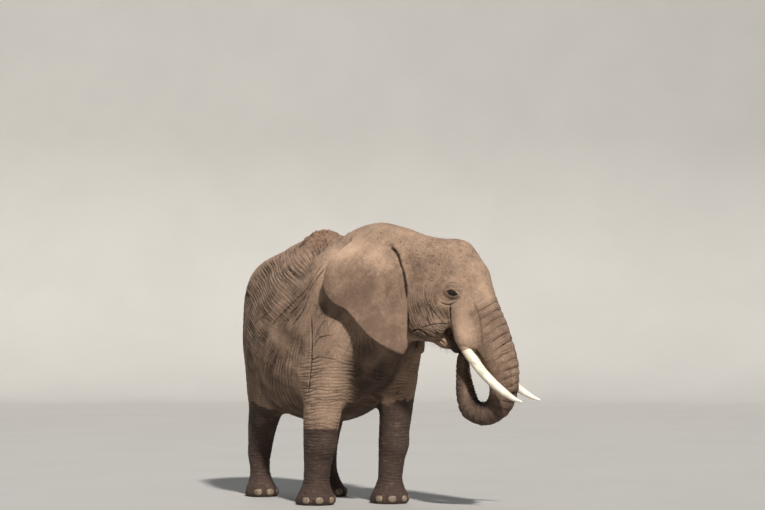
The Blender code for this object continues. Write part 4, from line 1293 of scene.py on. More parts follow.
    def folds(self):
        """The folds that can be told one by one, on both sides of her."""
        for table, p, away, home in (
            (HEAD_FOLDS, self.h, from_head, to_head),
            (BODY_FOLDS, self.p, np.array, np.array),
        ):
            for side in SIDES:
                mirror = (1, side, 1)
                for places, *how in table:
                    line = finer(places, 5)
                    for _ in range(3):
                        line = home(onto(away(line * mirror))) * mirror
                    self.fold(line, p * mirror, *how)

    def lids(self):
        """The creases of the lids with shade painted into them, and quiet skin on the lids."""
        for centre, axes in EYES.values():
            some = np.flatnonzero(within(self.p, centre, 0.14))
            q = (self.p[some] - centre) @ axes
            e = np.hypot(q[:, 1] * 0.70, q[:, 2] + LID_DROP)
            calm = ramp(e, 0.028, 0.050)
            self.sink[some] *= 0.15 + 0.85 * calm
            self.crease[some] *= 0.25 + 0.75 * calm
            self.fine[some] *= calm
            height = q[:, 2] / (e + 1e-6)
            e = e + 0.0022 * noise(q / 0.024, 161)
            broken = 0.35 + 0.65 * ramp(noise(q / 0.035, 163), -0.3, 0.3)
            for ring, width, depth, top in LID_CREASES:
                w = bell(e, ring, width) * ramp(top * height, 0.05, 0.65) * broken
                self.sink[some] += depth * w
                most(self.crease, some, 0.8 * w)

    def nails(self):
        """The skin swells a little round every nail and parts from it in a thin line."""
        for name, _, around in all_nails():
            centre, turn = nail_frame(name, around)
            some = np.flatnonzero(within(self.p, centre, 0.10))
            q = (self.p[some] - centre) @ turn
            e = np.hypot(q[:, 1] / NAIL_HALF[1], q[:, 2] / NAIL_HALF[2])
            out = ramp(q[:, 0], -0.02, 0.0)
            self.sink[some] *= 1 - 0.7 * out * (1 - ramp(e, 1.2, 1.7))
            self.sink[some] -= 0.0065 * out * bell(e, 1.20, 0.20)
            most(self.shadow, some, 0.7 * out * bell(e, 0.98, 0.10))

    def gather(self):
        """Works through all zones. Returns how far each point is lifted."""
        self.flank()
        for name in LEGS:
            self.leg(name)
        self.trunk()
        self.head()
        self.ears()
        self.tail()
        smoother = 1 - 0.75 * on_sheath(self.h, 0.585, 0.07, 0.16, 0.12)
        for values in (self.sink, self.crease, self.fine):
            values *= smoother
        self.folds()
        self.lids()
        self.nails()
        p = self.p
        thin = self.share["ear_right"] + self.share["ear_left"]
        uneven = 0.0035 * noise(p / 0.17, 171) + 0.0018 * noise(p / 0.07, 173)
        self.hump = mound(p, *HUMP)
        rough = (np.maximum(noise(p / 0.055, 175), -0.1) * 0.030 + 0.011 * noise(p / 0.026, 177)) * self.hump
        spine = mound(p, *SPINE) * ramp(self.n[:, 2], 0.3, 0.7)
        rough += np.maximum(noise(p / 0.05, 179), -0.1) * 0.022 * spine
        sole = ramp(p[:, 2], 0.004, 0.02)
        lift = (uneven * (1 - 0.7 * thin) + rough - np.clip(self.sink, *DEPTHS)) * sole
        quiet = np.ones(len(p))
        for centre, _ in EYES.values():
            quiet *= ramp(np.sqrt(((p - centre) ** 2).sum(1)), 0.03, 0.08)
        return lift + uneven * (quiet - 1) * sole


# ---------------------------------------------------------------- marks on the skin, and its map
def store(mesh, name, values):
    kind, field = ("FLOAT_VECTOR", "vector") if np.ndim(values) == 2 else ("FLOAT", "value")
    attribute = mesh.attributes.new(name, kind, "POINT")
    attribute.data.foreach_set(field, np.asarray(values, np.float32).ravel())


# Mud on each leg: the height it reaches, how ragged its edge is, and how much dust lies on it
MUD = {
    "front_right": (0.665, 0.8, 0.0),
    "front_left": (0.93, 3.0, 0.8),
    "hind_right": (0.86, 3.0, 0.4),
    "hind_left": (0.84, 3.0, 0.4),
}


def mud_and_painted_shade(relief):
    """Mud on the legs up to a line and on the wet trunk, with painted shade under the barrel and on the
    chest, for each point of the skin.
    """
    p, u, z, share = relief.p, relief.h[:, 0], relief.h[:, 2], relief.share
    ragged = 0.045 * noise(p / 0.16, 201) + 0.010 * noise(p / 0.04, 202) + 0.005 * noise(p / 0.015, 203)
    dusty = ramp(noise(p * (1, 1, 0.8) / 0.12, 205), 0.25, 0.60) * ramp(p[:, 2], 0.35, 0.75)
    mud_and_shade = np.zeros(len(p))
    for name, (height, rough, dust) in MUD.items():
        edge = p[:, 2] - height - ragged * rough
        own = np.clip(share[name] * 1.6, 0, 1)
        mud_and_shade = np.maximum(mud_and_shade, own * (1 - ramp(edge, -0.008, 0.014)))
        mud_and_shade -= own * dusty * mud_and_shade * dust
    wet = share["trunk"] * ramp(-z, -1.10, -0.86)
    wet = np.maximum(wet, share["trunk"] * (1 - ramp(u, 0.52, 0.62)) * (1 - ramp(z, 1.32, 1.40)))
    mud_and_shade = np.maximum(mud_and_shade, 0.75 * wet)
    # painted shade: the underside of the barrel and the chest between the forelegs are darkened like mud
    under = ramp(-relief.n[:, 2], 0.35, 0.9) * share["torso"]
    chest = share["torso"] * ramp(p[:, 0], 0.58, 0.78) * (1 - ramp(p[:, 2], 1.20, 1.65))
    patches = 0.6 + 0.8 * ramp(noise(p / 0.2, 207), -0.5, 0.4)
    mud_and_shade = np.maximum(mud_and_shade, np.maximum(0.55 * under, 0.85 * chest) * patches)
    return np.clip(mud_and_shade, 0, 1)


def marks(relief):
    """How muddy (with painted shade under the belly and chest), pale, dark (much of it painted shade), rusty
    and pebbly each point of the skin is, with its wrinkles and grain.
    """
    p, h, share = relief.p, relief.h, relief.share
    u, z, high = h[:, 0], h[:, 2], p[:, 2]
    ears = share["ear_right"] + share["ear_left"]
    head, trunk = share["head"], share["trunk"]
    blotch = noise(p / 0.14, 211) + 0.5 * noise(p / 0.05, 212)
    low_ear = ears * (1 - ramp(high, 1.80, 2.12))
    pale = 0.30 * blotch * (1 + 0.8 * share["torso"]) - low_ear * (0.60 + 0.45 * ramp(blotch, -0.2, 0.6))
    pale += 0.9 * ramp(high, 2.02, 2.30) * (ears + share["neck"] + 0.5 * head)
    pale += 0.9 * on_sheath(h, 0.60, 0.075, 0.20, 0.10) * (head + trunk)
    for name, much in (("front_right", 0.95), ("front_left", 0.55)):
        pale += much * share[name] * ramp(high, 0.66, 0.80)
    pale += 0.5 * ramp(high, 1.85, 2.20) * share["torso"]
    lid = np.zeros(len(p))
    for centre, axes in EYES.values():
        some = np.flatnonzero(within(p, centre, 0.20))
        q = (p[some] - centre) @ axes
        gap = almond(q[:, 1], q[:, 2] + LID_DROP, *OPENING)
        # the rims of the gap between the lids: darker skin, with the shade of the opening painted on
        lid[some] = 1 - ramp(gap + 0.002 * noise(q / 0.012, 231), 0.0025, 0.0115)
        # painted light on the upper lid and painted shade under the eye
        pale[some] += 0.6 * bell(gap, 0.014, 0.007) * ramp(q[:, 2], 0.0, 0.015)
        pale[some] -= 0.5 * bell(gap, 0.028, 0.012) * ramp(-q[:, 2], 0.0, 0.015)
    spots = ramp(noise(p / 0.055, 221) + 0.4 * noise(p / 0.02, 222), 0.42, 0.62)
    caked = relief.hump * ramp(noise(p / 0.16, 223) + 0.9 * relief.hump, 0.35, 0.75)
    mouth = mound(h, (0.475, 0.0, 1.385), (0.07, 0.085, 0.08))
    # dark: the lid rims, the painted shadow of folds and hollows, painted shade in the mouth and over the
    # tongue, and the real dark spots of caked mud on the hump
    dark = np.maximum.reduce([
        lid * 0.95,
        relief.shadow,
        0.9 * np.clip(1.6 * mouth, 0, 1) * head,
        0.9 * (1 - ramp(ellipsoid(h, *TONGUE), 0.0, 0.012)),
        spots * caked * 0.9,
    ])
    pebbly = 0.55 - 0.45 * ears + head * (0.45 * on_crown(u, z, 1.88) - 0.15)
    pebbly += 0.15 * (1 - ramp(high, 1.0, 1.2)) - 0.15 * trunk
    return {
        "crease": relief.crease, "fine": relief.fine, "mud_and_shade": mud_and_painted_shade(relief), "pale": pale, "dark": dark,
        "rust": np.clip(relief.hump * 1.2, 0, 1), "pebbly": pebbly, "grain": relief.grain,
        "grained": ramp(relief.grained, 0.45, 0.75),
    }


def zone_frames(relief):
    """Zone of each point of the skin, and the axes that zone is seen along in the map."""
    names = list(GROUPS)
    zone = np.argmax(np.stack([relief.share[name] for name in names]), axis=0)
    turns = [HEAD_TURN if name in ("head", "trunk") else np.eye(3) for name in names]
    for side, (_, way, _, _) in EARS.items():
        turns[names.index("ear_" + side)] = turn_z(way)
    trunk = names.index("trunk")
    _, _, piece = nearest_on(TRUNK_LINE[:, :3], relief.h[zone == trunk])
    zone[zone == trunk] = np.choose(np.digitize(piece, TRUNK_CUTS), (trunk, len(names), len(names) + 1))
    return zone, turns + [HEAD_TURN, HEAD_TURN]


TRUNK_CUTS = (19, 27)     # pieces of the trunk's line where the map cuts it, so that its curl lies apart
SEAM = 0.01               # metres kept free round each patch of the map


def packed(sizes, width):
    """Places for boxes of the given sizes on shelves of one width; returns corners and the height used."""
    order = np.argsort(-sizes[:, 1])
    corners = np.zeros_like(sizes)
    x = y = shelf = 0.0
    for i in order:
        if x + sizes[i, 0] > width:
            x, y, shelf = 0.0, y + shelf, 0.0
        corners[i] = x, y
        x += sizes[i, 0]
        shelf = max(shelf, sizes[i, 1])
    return corners, y + shelf


def put_map(mesh, uv):
    layer = mesh.uv_layers.new(name="OFBake")
    layer.uv.foreach_set("vector", uv.ravel().astype(np.float32))


def unwrap_skin(mesh, relief):
    """Lays each zone of the skin flat from the six sides of its axes. Returns a place for each point."""
    zone, turns = zone_frames(relief)
    starts = read(mesh.polygons, "loop_start", 1, np.int32)
    sizes = read(mesh.polygons, "loop_total", 1, np.int32)
    count = len(starts)
    corner = corners_of(mesh)
    first = corner[starts]
    owner = np.repeat(np.arange(count), sizes)
    patch = np.zeros(count, int)
    flat = np.zeros((len(corner), 2))
    for z, turn in enumerate(turns):
        mine = zone[first] == z
        n = relief.n[first[mine]] @ turn
        axis = np.argmax(np.abs(n) * (1, 1, 0.8), axis=1)
        patch[mine] = z * 6 + axis * 2 + (n[np.arange(len(n)), axis] > 0)
        loops = np.flatnonzero(mine[owner])
        q = relief.p[corner[loops]] @ turn
        axis = (patch[owner[loops]] % 6) // 2
        flat[loops, 0] = np.where(axis == 0, q[:, 1], q[:, 0])
        flat[loops, 1] = np.where(axis == 2, q[:, 1], q[:, 2])
    charts, chart = np.unique(patch, return_inverse=True)
    chart = chart[owner]
    low = np.full((len(charts), 2), np.inf)
    high = np.full((len(charts), 2), -np.inf)
    np.minimum.at(low, chart, flat)
    np.maximum.at(high, chart, flat)
    room = high - low + 2 * SEAM
    width = np.sqrt((room[:, 0] * room[:, 1]).sum()) * 1.02
    corners, height = packed(room, width)
    while height > width:
        width *= 1.01
        corners, height = packed(room, width)
    uv = (flat - low[chart] + corners[chart] + SEAM) / (width, height)
    put_map(mesh, uv)
    spot = np.zeros((len(mesh.vertices), 2))
    spot[corner] = uv
    return spot


# ---------------------------------------------------------------- tusks, eyes, nails
def smooth(thing):
    """Shades a piece smoothly."""
    thing.data.polygons.foreach_set("use_smooth", np.ones(len(thing.data.polygons), bool))
    thing.data.update()
    return thing


def facing(run):
    """Two axes across a direction."""
    side = normed(np.cross(run, (0.0, 1.0, 0.0) if abs(run[1]) < 0.8 else (1.0, 0.0, 0.0)))
    return side, np.cross(run, side)


def tusk(side):
    """A tapering tusk with growth ridges, a worn tip, and its own length and turn kept as marks."""
    line = np.array([(u, v * side, z, r) for u, v, z, r in TUSK])
    along, around, tip = 150, 48, 0.035
    st = spread(line, along)
    run = np.gradient(st[:, :3], axis=0)
    turns = np.arange(around) * 2 * math.pi / around
    c, s = np.cos(turns), np.sin(turns)
    length = np.concatenate([[0], np.cumsum(np.linalg.norm(np.diff(st[:, :3], axis=0), axis=1))])
    points, grain = [], []
    for i, row in enumerate(st):
        a, b = facing(normed(run[i]))
        ring = rows(c * 1.2, s * 1.2, length[i] / 0.30 + 3 * side)
        ridge = 1 + 0.014 * noise(ring * (1.6, 1.6, 1), 301) + 0.006 * noise(ring * (6, 6, 1), 302)
        ridge += 0.006 * math.sin(length[i] * 90) * (1 - i / along)
        end = max(0.0, i / (along - 1) - (1 - tip)) / tip
        radius = row[3] * ridge * math.sqrt(max(1 - end**2.2, 1e-4))
        points.append(row[:3] + radius[:, None] * (c[:, None] * a * 1.03 + s[:, None] * b))
        grain.append(rows(c * 0.03, length[i], s * 0.03))
    grain = np.vstack(grain)
    faces = []
    for i in range(along - 1):
        for k in range(around):
            low, m = i * around, (k + 1) % around
            faces.append((low + k, low + m, low + around + m, low + around + k))
    faces += [tuple(range(around))[::-1], tuple(range((along - 1) * around, along * around))]
    thing = make("ivory_" + SIDES[side], from_head(np.vstack(points)), faces)
    store(thing.data, "length", grain[:, 1] / length[-1])
    store(thing.data, "grain", grain)
    return smooth(thing)


def eyeball(side):
    """The ball with its raised cornea; each point keeps its distance from the line of sight."""
    centre, axes = EYES[side]
    unit, faces = ball(64, 48)
    sight = normed(np.array([1.0, 0.10, -0.06]))
    away = np.arccos(np.clip(unit @ sight, -1, 1))
    radius = EYE_RADIUS - 0.0004 + 0.0012 * np.exp(-((away / 0.50) ** 4))
    thing = make("eyeball_" + SIDES[side], (unit * radius[:, None]) @ axes.T + centre, faces)
    store(thing.data, "away", away)
    return smooth(thing)


def nail(name, i, around):
    """One toenail: a flattened shield with ridges from root to edge."""
    centre, turn = nail_frame(name, around)
    unit, faces = ball(56, 36)
    squareness = 0.84
    shaped = np.sign(unit) * np.abs(unit) ** squareness
    shaped /= np.maximum(1.0, np.sqrt((shaped**2).sum(1)))[:, None] ** 0.5
    ridge = noise(rows(unit[:, 1] * 7, unit[:, 2] * 1.2, i + 3.0), 311 + i)
    chips = noise(unit * 2.2 + i, 317) * 0.03
    shaped = shaped * (1 + chips)[:, None]
    shaped[:, 0] += 0.030 * ridge
    thing = make(f"toenail_{name}_{i + 1}", np.clip(shaped, -1.02, 1.02) * NAIL_HALF @ turn.T + centre, faces)
    store(thing.data, "height", unit[:, 2])
    return smooth(thing)


# ---------------------------------------------------------------- hair
CORNERS = 3           # sides of a hair
PATCH = 0.0014        # half the width of a hair's patch on the skin's map
THIRDS = [turned(120 * k) for k in range(CORNERS)]


def hairs(name, points, spots, patch, rng):
    """Hairs as one mesh. Points go by hair, step and corner. Each hair's patch lies round its spot."""
    n, steps = len(points), points.shape[1] - 1
    per = (steps + 1) * CORNERS
    pattern = []
    for j in range(steps):
        for k in range(CORNERS):
            o, m = j * CORNERS, (k + 1) % CORNERS
            pattern.append((o + k, o + m, o + CORNERS + m, o + CORNERS + k))
    ends = np.arange(n)[:, None] * per
    quads = (ends[..., None] + np.array(pattern)).reshape(-1, 4)
    tips = ends + steps * CORNERS + np.array([[0, 1, 2]])
    feet = ends + np.array([[2, 1, 0]])
    thing = make(name, points.reshape(-1, 3), quads.tolist() + tips.tolist() + feet.tolist())
    across = np.tile(np.array([-1.0, 0.0, 1.0]), (steps + 1) * n)
    up = np.tile(np.repeat(np.linspace(-1, 1, steps + 1), CORNERS), n)
    uv = np.repeat(spots, per, axis=0) + patch * np.stack([across, up], axis=1)
    put_map(thing.data, np.clip(uv[corners_of(thing.data)], 0, 1))
    store(thing.data, "shade", np.repeat(rng.uniform(0, 1, n), per))
    return smooth(thing)


def strands(name, roots, ways, lengths, radii, spots, droop, seed, steps):
    """Thin tapering hairs in one mesh. They leave along ways, then bend down by droop."""
    rng = np.random.default_rng(seed)
    n = len(roots)
    ways = ways / np.linalg.norm(ways, axis=1)[:, None]
    stray = rng.normal(0, 1, (n, 3))
    side = np.cross(ways, stray)
    side /= np.linalg.norm(side, axis=1)[:, None]
    other = np.cross(ways, side)
    bend = rng.normal(0, 0.10, (n, 1))
    points = np.empty((n, steps + 1, CORNERS, 3))
    for j, f in enumerate(np.linspace(0, 1, steps + 1)):
        spine = roots + ways * (lengths * f)[:, None] + side * (bend * (lengths * f * f)[:, None])
        spine[:, 2] -= droop * lengths * f * f
        radius = radii * (1 - 0.93 * f**1.5)
        for k, (c, s) in enumerate(THIRDS):
            points[:, j, k] = spine + (c * side + s * other) * radius[:, None]
    return hairs(name, points, spots, PATCH, rng)


def chosen(rng, weight, count):
    """Some of the points, more of them where the weight is high."""
    weight = np.clip(weight, 0, None)
    size = min(count, int((weight > 0).sum()))
    return rng.choice(len(weight), size=size, replace=False, p=weight / weight.sum())


def bristles(relief, points, spots):
    """The sparse stiff hairs of the crown, back, chin, cheeks, trunk and tail."""
    rng = np.random.default_rng(5)
    p, n, h, share = relief.p, relief.n, relief.h, relief.share
    u, v, z = h[:, 0], np.abs(h[:, 1]), h[:, 2]
    open_skin = np.ones(len(p))
    for centre, _ in EYES.values():
        open_skin *= ~within(p, centre, 0.10)
    open_skin *= relief.shadow < 0.25
    down, ahead = -UPWARD, HEAD_TURN[:, 0]
    back, head = share["torso"] + share["neck"], share["head"]
    on_top = ramp(n[:, 2], 0.80, 0.97) * ramp(p[:, 2], 2.1, 2.3)
    chin = (1 - ramp(z, 1.42, 1.50)) * (u < 0.47)
    backward, low_back = np.array([-1.1, 0, 0]), np.array([-0.9, 0, -0.7])
    kinds = [  # weight of each point, how many, length, radius, lean, droop
        (head * ramp(z, 2.10, 2.30), 500, 0.024, 0.00034, ahead * 0.9, 0.3),
        (back * on_top, 700, 0.020, 0.00034, backward, 0.3),
        (back * (p[:, 2] < 2.2), 1100, 0.016, 0.00028, low_back, 0.3),
        (head * chin, 260, 0.042, 0.00038, down * 0.9 + ahead * 0.4, 0.5),
        (head * ramp(v, 0.1, 0.2) * (z < 1.95), 500, 0.016, 0.00028, down * 0.9, 0.3),
        (share["trunk"] * ramp(z, 0.70, 0.80), 1100, 0.016, 0.00030, down * 0.8, 0.3),
        (share["tail"] * ramp(-p[:, 2], -1.5, -1.1), 450, 0.045, 0.00042, down * 1.2, 0.4),
    ]
    places, ways, lengths, radii, at, droops = [], [], [], [], [], []
    for weight, count, long, thick, lean, droop in kinds:
        i = chosen(rng, weight * open_skin, count)
        places.append(points[i] - n[i] * 0.001)
        ways.append(n[i] + lean * 0.9 + rng.normal(0, 0.22, (len(i), 3)))
        lengths.append(long * rng.uniform(0.45, 1.25, len(i)))
        radii.append(thick * rng.uniform(0.8, 1.2, len(i)))
        at.append(spots[i])
        droops.append(np.full(len(i), droop))
    joined = [np.concatenate(parts) for parts in (places, ways, lengths, radii, at, droops)]
    return strands("bristles", *joined, seed=6, steps=3)


def ear_hair(relief, points, spots):
    """The longer hair that hangs in the cleft before each ear."""
    rng = np.random.default_rng(8)
    u, v, z = relief.h[:, 0], np.abs(relief.h[:, 1]), relief.h[:, 2]
    near = bell(u, 0.115, 0.03) * (v > 0.2) * ramp(z, 1.60, 1.75) * (1 - ramp(z, 1.98, 2.10))
    i = chosen(rng, near * (relief.shadow > 0.3), 200)
    out = HEAD_TURN @ np.array([0.5, 0.0, -0.5])
    ways = relief.n[i] * 0.4 + out + rng.normal(0, 0.25, (len(i), 3))
    lengths, radii, droop = rng.uniform(0.02, 0.05, len(i)), np.full(len(i), 0.0004), 0.6
    return strands("ear_hair", points[i], ways, lengths, radii, spots[i], droop, seed=9, steps=5)


def lashes(side, relief, spots):
    """Upper lashes, long and drooping, and short lower ones."""
    rng = np.random.default_rng(20 + side)
    centre, axes = EYES[side]
    roots, ways, lengths, droops = [], [], [], []
    for count, upper, shortest, longest, droop in ((85, 1, 0.022, 0.036, 0.75), (40, -1, 0.008, 0.014, 0.2)):
        t = np.linspace(-0.92, 0.92, count) + rng.normal(0, 0.02, count)
        x = t * OPENING[0]
        w = upper * (OPENING[1] + 0.003) * (1 - t * t) - LID_DROP
        depth = np.sqrt(np.maximum(LID_RADIUS**2 - x * x - w * w, 1e-6)) - 0.001
        root = rows(depth, x, w) + rng.normal(0, 0.0006, (count, 3))
        way = rows(0.9, 0.55 * t + 0.15, upper * 0.45) + rng.normal(0, 0.10, (count, 3))
        roots.append(centre + root @ axes.T)
        ways.append(way @ axes.T)
        lengths.append(rng.uniform(shortest, longest, count))
        droops.append(np.full(count, droop))
    roots, ways, lengths, droops = (np.concatenate(parts) for parts in (roots, ways, lengths, droops))
    near = np.flatnonzero(within(relief.p, centre, 0.06))
    nearest = near[np.argmin(((roots[:, None] - relief.p[near][None]) ** 2).sum(2), axis=1)]
    name, radii = "lashes_" + SIDES[side], np.full(len(roots), 0.00042)
    return strands(name, roots, ways, lengths, radii, spots[nearest], droops, seed=30 + side, steps=6)


def tail_brush():
    """The wiry brush of the tail: hairs that start along its end and hang inside the solid's outline."""
    rng = np.random.default_rng(12)
    count, steps = 420, 9
    start = rng.uniform(0.0, 0.42, count)
    stop = np.minimum(start + rng.uniform(0.40, 0.72, count), 1.0)
    turn = rng.uniform(0, 2 * math.pi, count)
    share = np.sqrt(rng.uniform(0.05, 1, count))
    wave = rng.normal(0, 0.006, (count, 2))
    points = np.empty((count, steps + 1, CORNERS, 3))
    for j in range(steps + 1):
        f = j / steps
        at = start + (stop - start) * f
        st = through(np.arange(len(TUFT)), np.array(TUFT), at * (len(TUFT) - 1))
        held = 0.5 + 0.5 * ramp(f, 0.0, 0.5)
        radius = np.maximum(st[:, 3] * 0.92, 0.006) * share * held
        centre = st[:, :3].copy()
        centre[:, 0] += radius * np.cos(turn) + wave[:, 0] * math.sin(3 * f)
        centre[:, 1] += radius * np.sin(turn) * 0.8 + wave[:, 1] * math.sin(4 * f)
        thick = 0.0011 * (1 - 0.8 * f)
        for k, (c, s) in enumerate(THIRDS):
            points[:, j, k] = centre + np.array([c, s, 0.0]) * thick
    side = math.ceil(math.sqrt(count))
    cell = np.arange(count)
    spots = np.stack([(cell % side + 0.5) / side, (cell // side + 0.5) / side], axis=1)
    return hairs("tail_hair", points, spots, 0.4 / side, rng)


# ---------------------------------------------------------------- materials
def linear(*rgb):
    """Linear colour of an sRGB colour given in 0 to 255."""
    c = [v / 255 for v in rgb]
    return tuple(v / 12.92 if v < 0.04045 else ((v + 0.055) / 1.055) ** 2.4 for v in c) + (1.0,)


class Nodes:
    """A material's nodes, with short calls to add and join them."""

    def __init__(self, name, roughness=0.8):
        self.material = bpy.data.materials.new(name)
        self.material.use_nodes = True
        self.tree = self.material.node_tree
        self.shader = self.tree.nodes["Principled BSDF"]
        self.shader.inputs["Roughness"].default_value = roughness
        self.where = self.add("ShaderNodeTexCoord").outputs["Object"]

    def add(self, kind, inputs=None, **settings):
        """A node with its settings, and with its inputs: numbers, colours or the sockets of others."""
        node = self.tree.nodes.new(kind)
        for key, value in settings.items():
            setattr(node, key, value)
        for key, source in (inputs or {}).items():
            self.join(source, node.inputs[key])
        return node

    def join(self, source, socket):
        if isinstance(source, bpy.types.NodeSocket):
            self.tree.links.new(source, socket)
        else:
            socket.default_value = source

    def mark(self, name):
        return self.add("ShaderNodeAttribute", attribute_name=name).outputs["Fac"]

    def math(self, operation, a, b=0.0, clamp=False):
        return self.add("ShaderNodeMath", {0: a, 1: b}, operation=operation, use_clamp=clamp).outputs[0]

    def times(self, a, b, clamp=False):
        return self.math("MULTIPLY", a, b, clamp)

    def plus(self, a, b):
        return self.math("ADD", a, b)

    def gathered(self, operation, *shares):
        """Values joined by one operation, each with its own factor."""
        total = self.times(*shares[0])
        for value, much in shares[1:]:
            total = self.math(operation, total, self.times(value, much))
        return total

    def noise(self, scale, detail=4.0, roughness=0.55, stretch=None):
        where = self.where
        if stretch:
            where = self.add("ShaderNodeMapping", {"Scale": stretch, "Vector": where}).outputs["Vector"]
        inputs = {"Scale": scale, "Detail": detail, "Roughness": roughness, "Vector": where}
        return self.add("ShaderNodeTexNoise", inputs).outputs["Fac"]

    def cells(self, scale, low, high, bent=0.35):
        """1 along the edges between cells, 0 inside them."""
        warp = self.add("ShaderNodeTexNoise", {"Scale": scale * 0.6, "Vector": self.where})
        inputs = {0: warp.outputs["Color"], 1: (bent / scale,) * 3, 2: self.where}
        shift = self.add("ShaderNodeVectorMath", inputs, operation="MULTIPLY_ADD")
        inputs = {"Scale": scale, "Vector": shift.outputs[0]}
        node = self.add("ShaderNodeTexVoronoi", inputs, feature="DISTANCE_TO_EDGE")
        return self.ramp(node.outputs["Distance"], high, low)

    def threads(self, grain, stretch):
        """1 on thin lines that run along the grain kept in a vector attribute."""
        kept = self.add("ShaderNodeAttribute", attribute_name=grain).outputs["Vector"]
        laid = self.add("ShaderNodeVectorMath", {0: kept, 1: stretch}, operation="MULTIPLY")
        inputs = {"Scale": 1.0, "Detail": 1.5, "Vector": laid.outputs[0]}
        node = self.add("ShaderNodeTexNoise", inputs)
        off = self.math("ABSOLUTE", self.math("SUBTRACT", node.outputs["Fac"], 0.5))
        return self.ramp(off, 0.035, 0.0)

    def ramp(self, value, low, high, to_low=0.0, to_high=1.0):
        """A smooth step from one number at low to another at high."""
        if low > high:
            low, high, to_low, to_high = high, low, to_high, to_low
        inputs = {"Value": value, "From Min": low, "From Max": high, "To Min": to_low, "To Max": to_high}
        return self.add("ShaderNodeMapRange", inputs, interpolation_type="SMOOTHSTEP").outputs["Result"]

    def mix(self, share, a, b, blend="MIX"):
        inputs = {"Factor": share, "A": a, "B": b}
        return self.add("ShaderNodeMix", inputs, data_type="RGBA", blend_type=blend).outputs["Result"]

    def finish(self, colour, roughness=None, height=None, deep=0.002, strength=1.0):
        """Joins the colour, the roughness and the fine relief to the shader."""
        self.join(colour, self.shader.inputs["Base Color"])
        if roughness is not None:
            self.join(roughness, self.shader.inputs["Roughness"])
        if height is not None:
            bump = self.add("ShaderNodeBump", {"Strength": strength, "Distance": deep, "Height": height})
            self.join(bump.outputs["Normal"], self.shader.inputs["Normal"])
        return self.material


def skin_material():
    m = Nodes("skin")
    m.shader.inputs["Specular IOR Level"].default_value = 0.25
    crease, fine, mud_and_shade, pale = m.mark("crease"), m.mark("fine"), m.mark("mud_and_shade"), m.mark("pale")
    dark, rust, pebbly = m.mark("dark"), m.mark("rust"), m.mark("pebbly")
    broad = m.noise(5.0, 5.0, 0.6)
    small = m.noise(34.0, 4.0, 0.6)
    grit = m.noise(210.0, 3.0, 0.6)
    cracked = m.times(m.cells(52.0, 0.0, 0.14, 0.6), m.times(pebbly, m.ramp(broad, 0.35, 0.60, 0.35, 1.0)))
    hairline = m.times(m.cells(125.0, 0.0, 0.17), m.plus(m.times(pebbly, 0.7), 0.3))
    threads = m.times(m.threads("grain", (115, 20, 20)), m.mark("grained"))
    crossing = m.times(m.threads("grain", (36, 190, 60)), m.times(m.mark("grained"), 0.6))
    threads = m.math("MAXIMUM", threads, crossing)
    tone = m.plus(m.times(pale, 0.5), m.times(m.math("SUBTRACT", broad, 0.5), 1.5))
    tone = m.plus(tone, m.times(m.math("SUBTRACT", small, 0.5), 0.9))
    colour = m.mix(m.ramp(tone, -0.55, 0.75), linear(119, 99, 85), linear(190, 164, 142))
    colour = m.mix(m.times(rust, 0.45), colour, linear(132, 99, 77))
    # painted shade in the creases, cracks and fine lines, which are drawn darker
    marked = (crease, 0.95), (fine, 0.30), (cracked, 0.30), (hairline, 0.16), (threads, 0.30)
    painted_crease_shade = m.gathered("MAXIMUM", *marked)
    painted_crease_shade = m.times(painted_crease_shade, m.ramp(small, 0.30, 0.62, 0.55, 1.15), True)
    colour = m.mix(painted_crease_shade, colour, linear(52, 40, 34))
    dried = m.mix(m.ramp(m.noise(22.0, 5.0, 0.65), 0.50, 0.72), linear(80, 65, 58), linear(103, 86, 77))
    # the same painted shade in the creases of the mud
    dried = m.mix(m.times(painted_crease_shade, 0.7), dried, linear(42, 34, 31))
    # mud, with painted shade under the belly and on the chest
    colour = m.mix(m.times(mud_and_shade, m.ramp(small, 0.20, 0.40, 0.84, 1.0), True), colour, dried)
    # dark: painted shadow of folds, mouth and lids, and the real dark spots on the hump
    colour = m.mix(m.times(dark, 0.92, True), colour, linear(30, 24, 22))
    grains = m.mix(m.ramp(grit, 0.35, 0.65), linear(60, 50, 44), linear(200, 180, 160))
    colour = m.mix(0.35, colour, grains, "SOFT_LIGHT")
    rough = m.ramp(m.plus(mud_and_shade, m.times(dark, 0.6)), 0.0, 1.4, 0.86, 0.62)
    sunk = (cracked, -0.75), (hairline, -0.35), (threads, -0.8)
    height = m.gathered("ADD", *sunk, (grit, 0.35), (small, 0.9), (crease, -1.0))
    return m.finish(colour, rough, height, 0.0024, 0.9)


def ivory_material():
    m = Nodes("ivory", 0.38)
    m.shader.inputs["Subsurface Weight"].default_value = 0.06
    m.shader.inputs["Subsurface Radius"].default_value = (0.012, 0.008, 0.004)
    length = m.mark("length")
    streak = m.noise(9.0, 5.0, 0.6)
    scratches = m.threads("grain", (150, 5, 150))
    stain = m.ramp(m.noise(13.0, 6.0, 0.68), 0.50, 0.70)
    root = m.ramp(length, 0.45, 0.16)
    colour = m.mix(m.ramp(streak, 0.3, 0.7), linear(222, 210, 186), linear(244, 237, 222))
    colour = m.mix(m.times(root, 0.38), colour, linear(190, 162, 126))
    colour = m.mix(m.times(stain, m.ramp(length, 0.85, 0.25, 0.15, 0.66)), colour, linear(128, 94, 64))
    gate = m.ramp(m.noise(8.0, 3.0), 0.45, 0.62)
    colour = m.mix(m.times(m.times(scratches, gate), 0.35), colour, linear(104, 78, 56))
    rough = m.ramp(stain, 0.0, 1.0, 0.34, 0.58)
    height = m.math("SUBTRACT", m.noise(60.0, 4.0, 0.6), m.times(scratches, 0.6))
    return m.finish(colour, rough, height, 0.0006, 0.6)


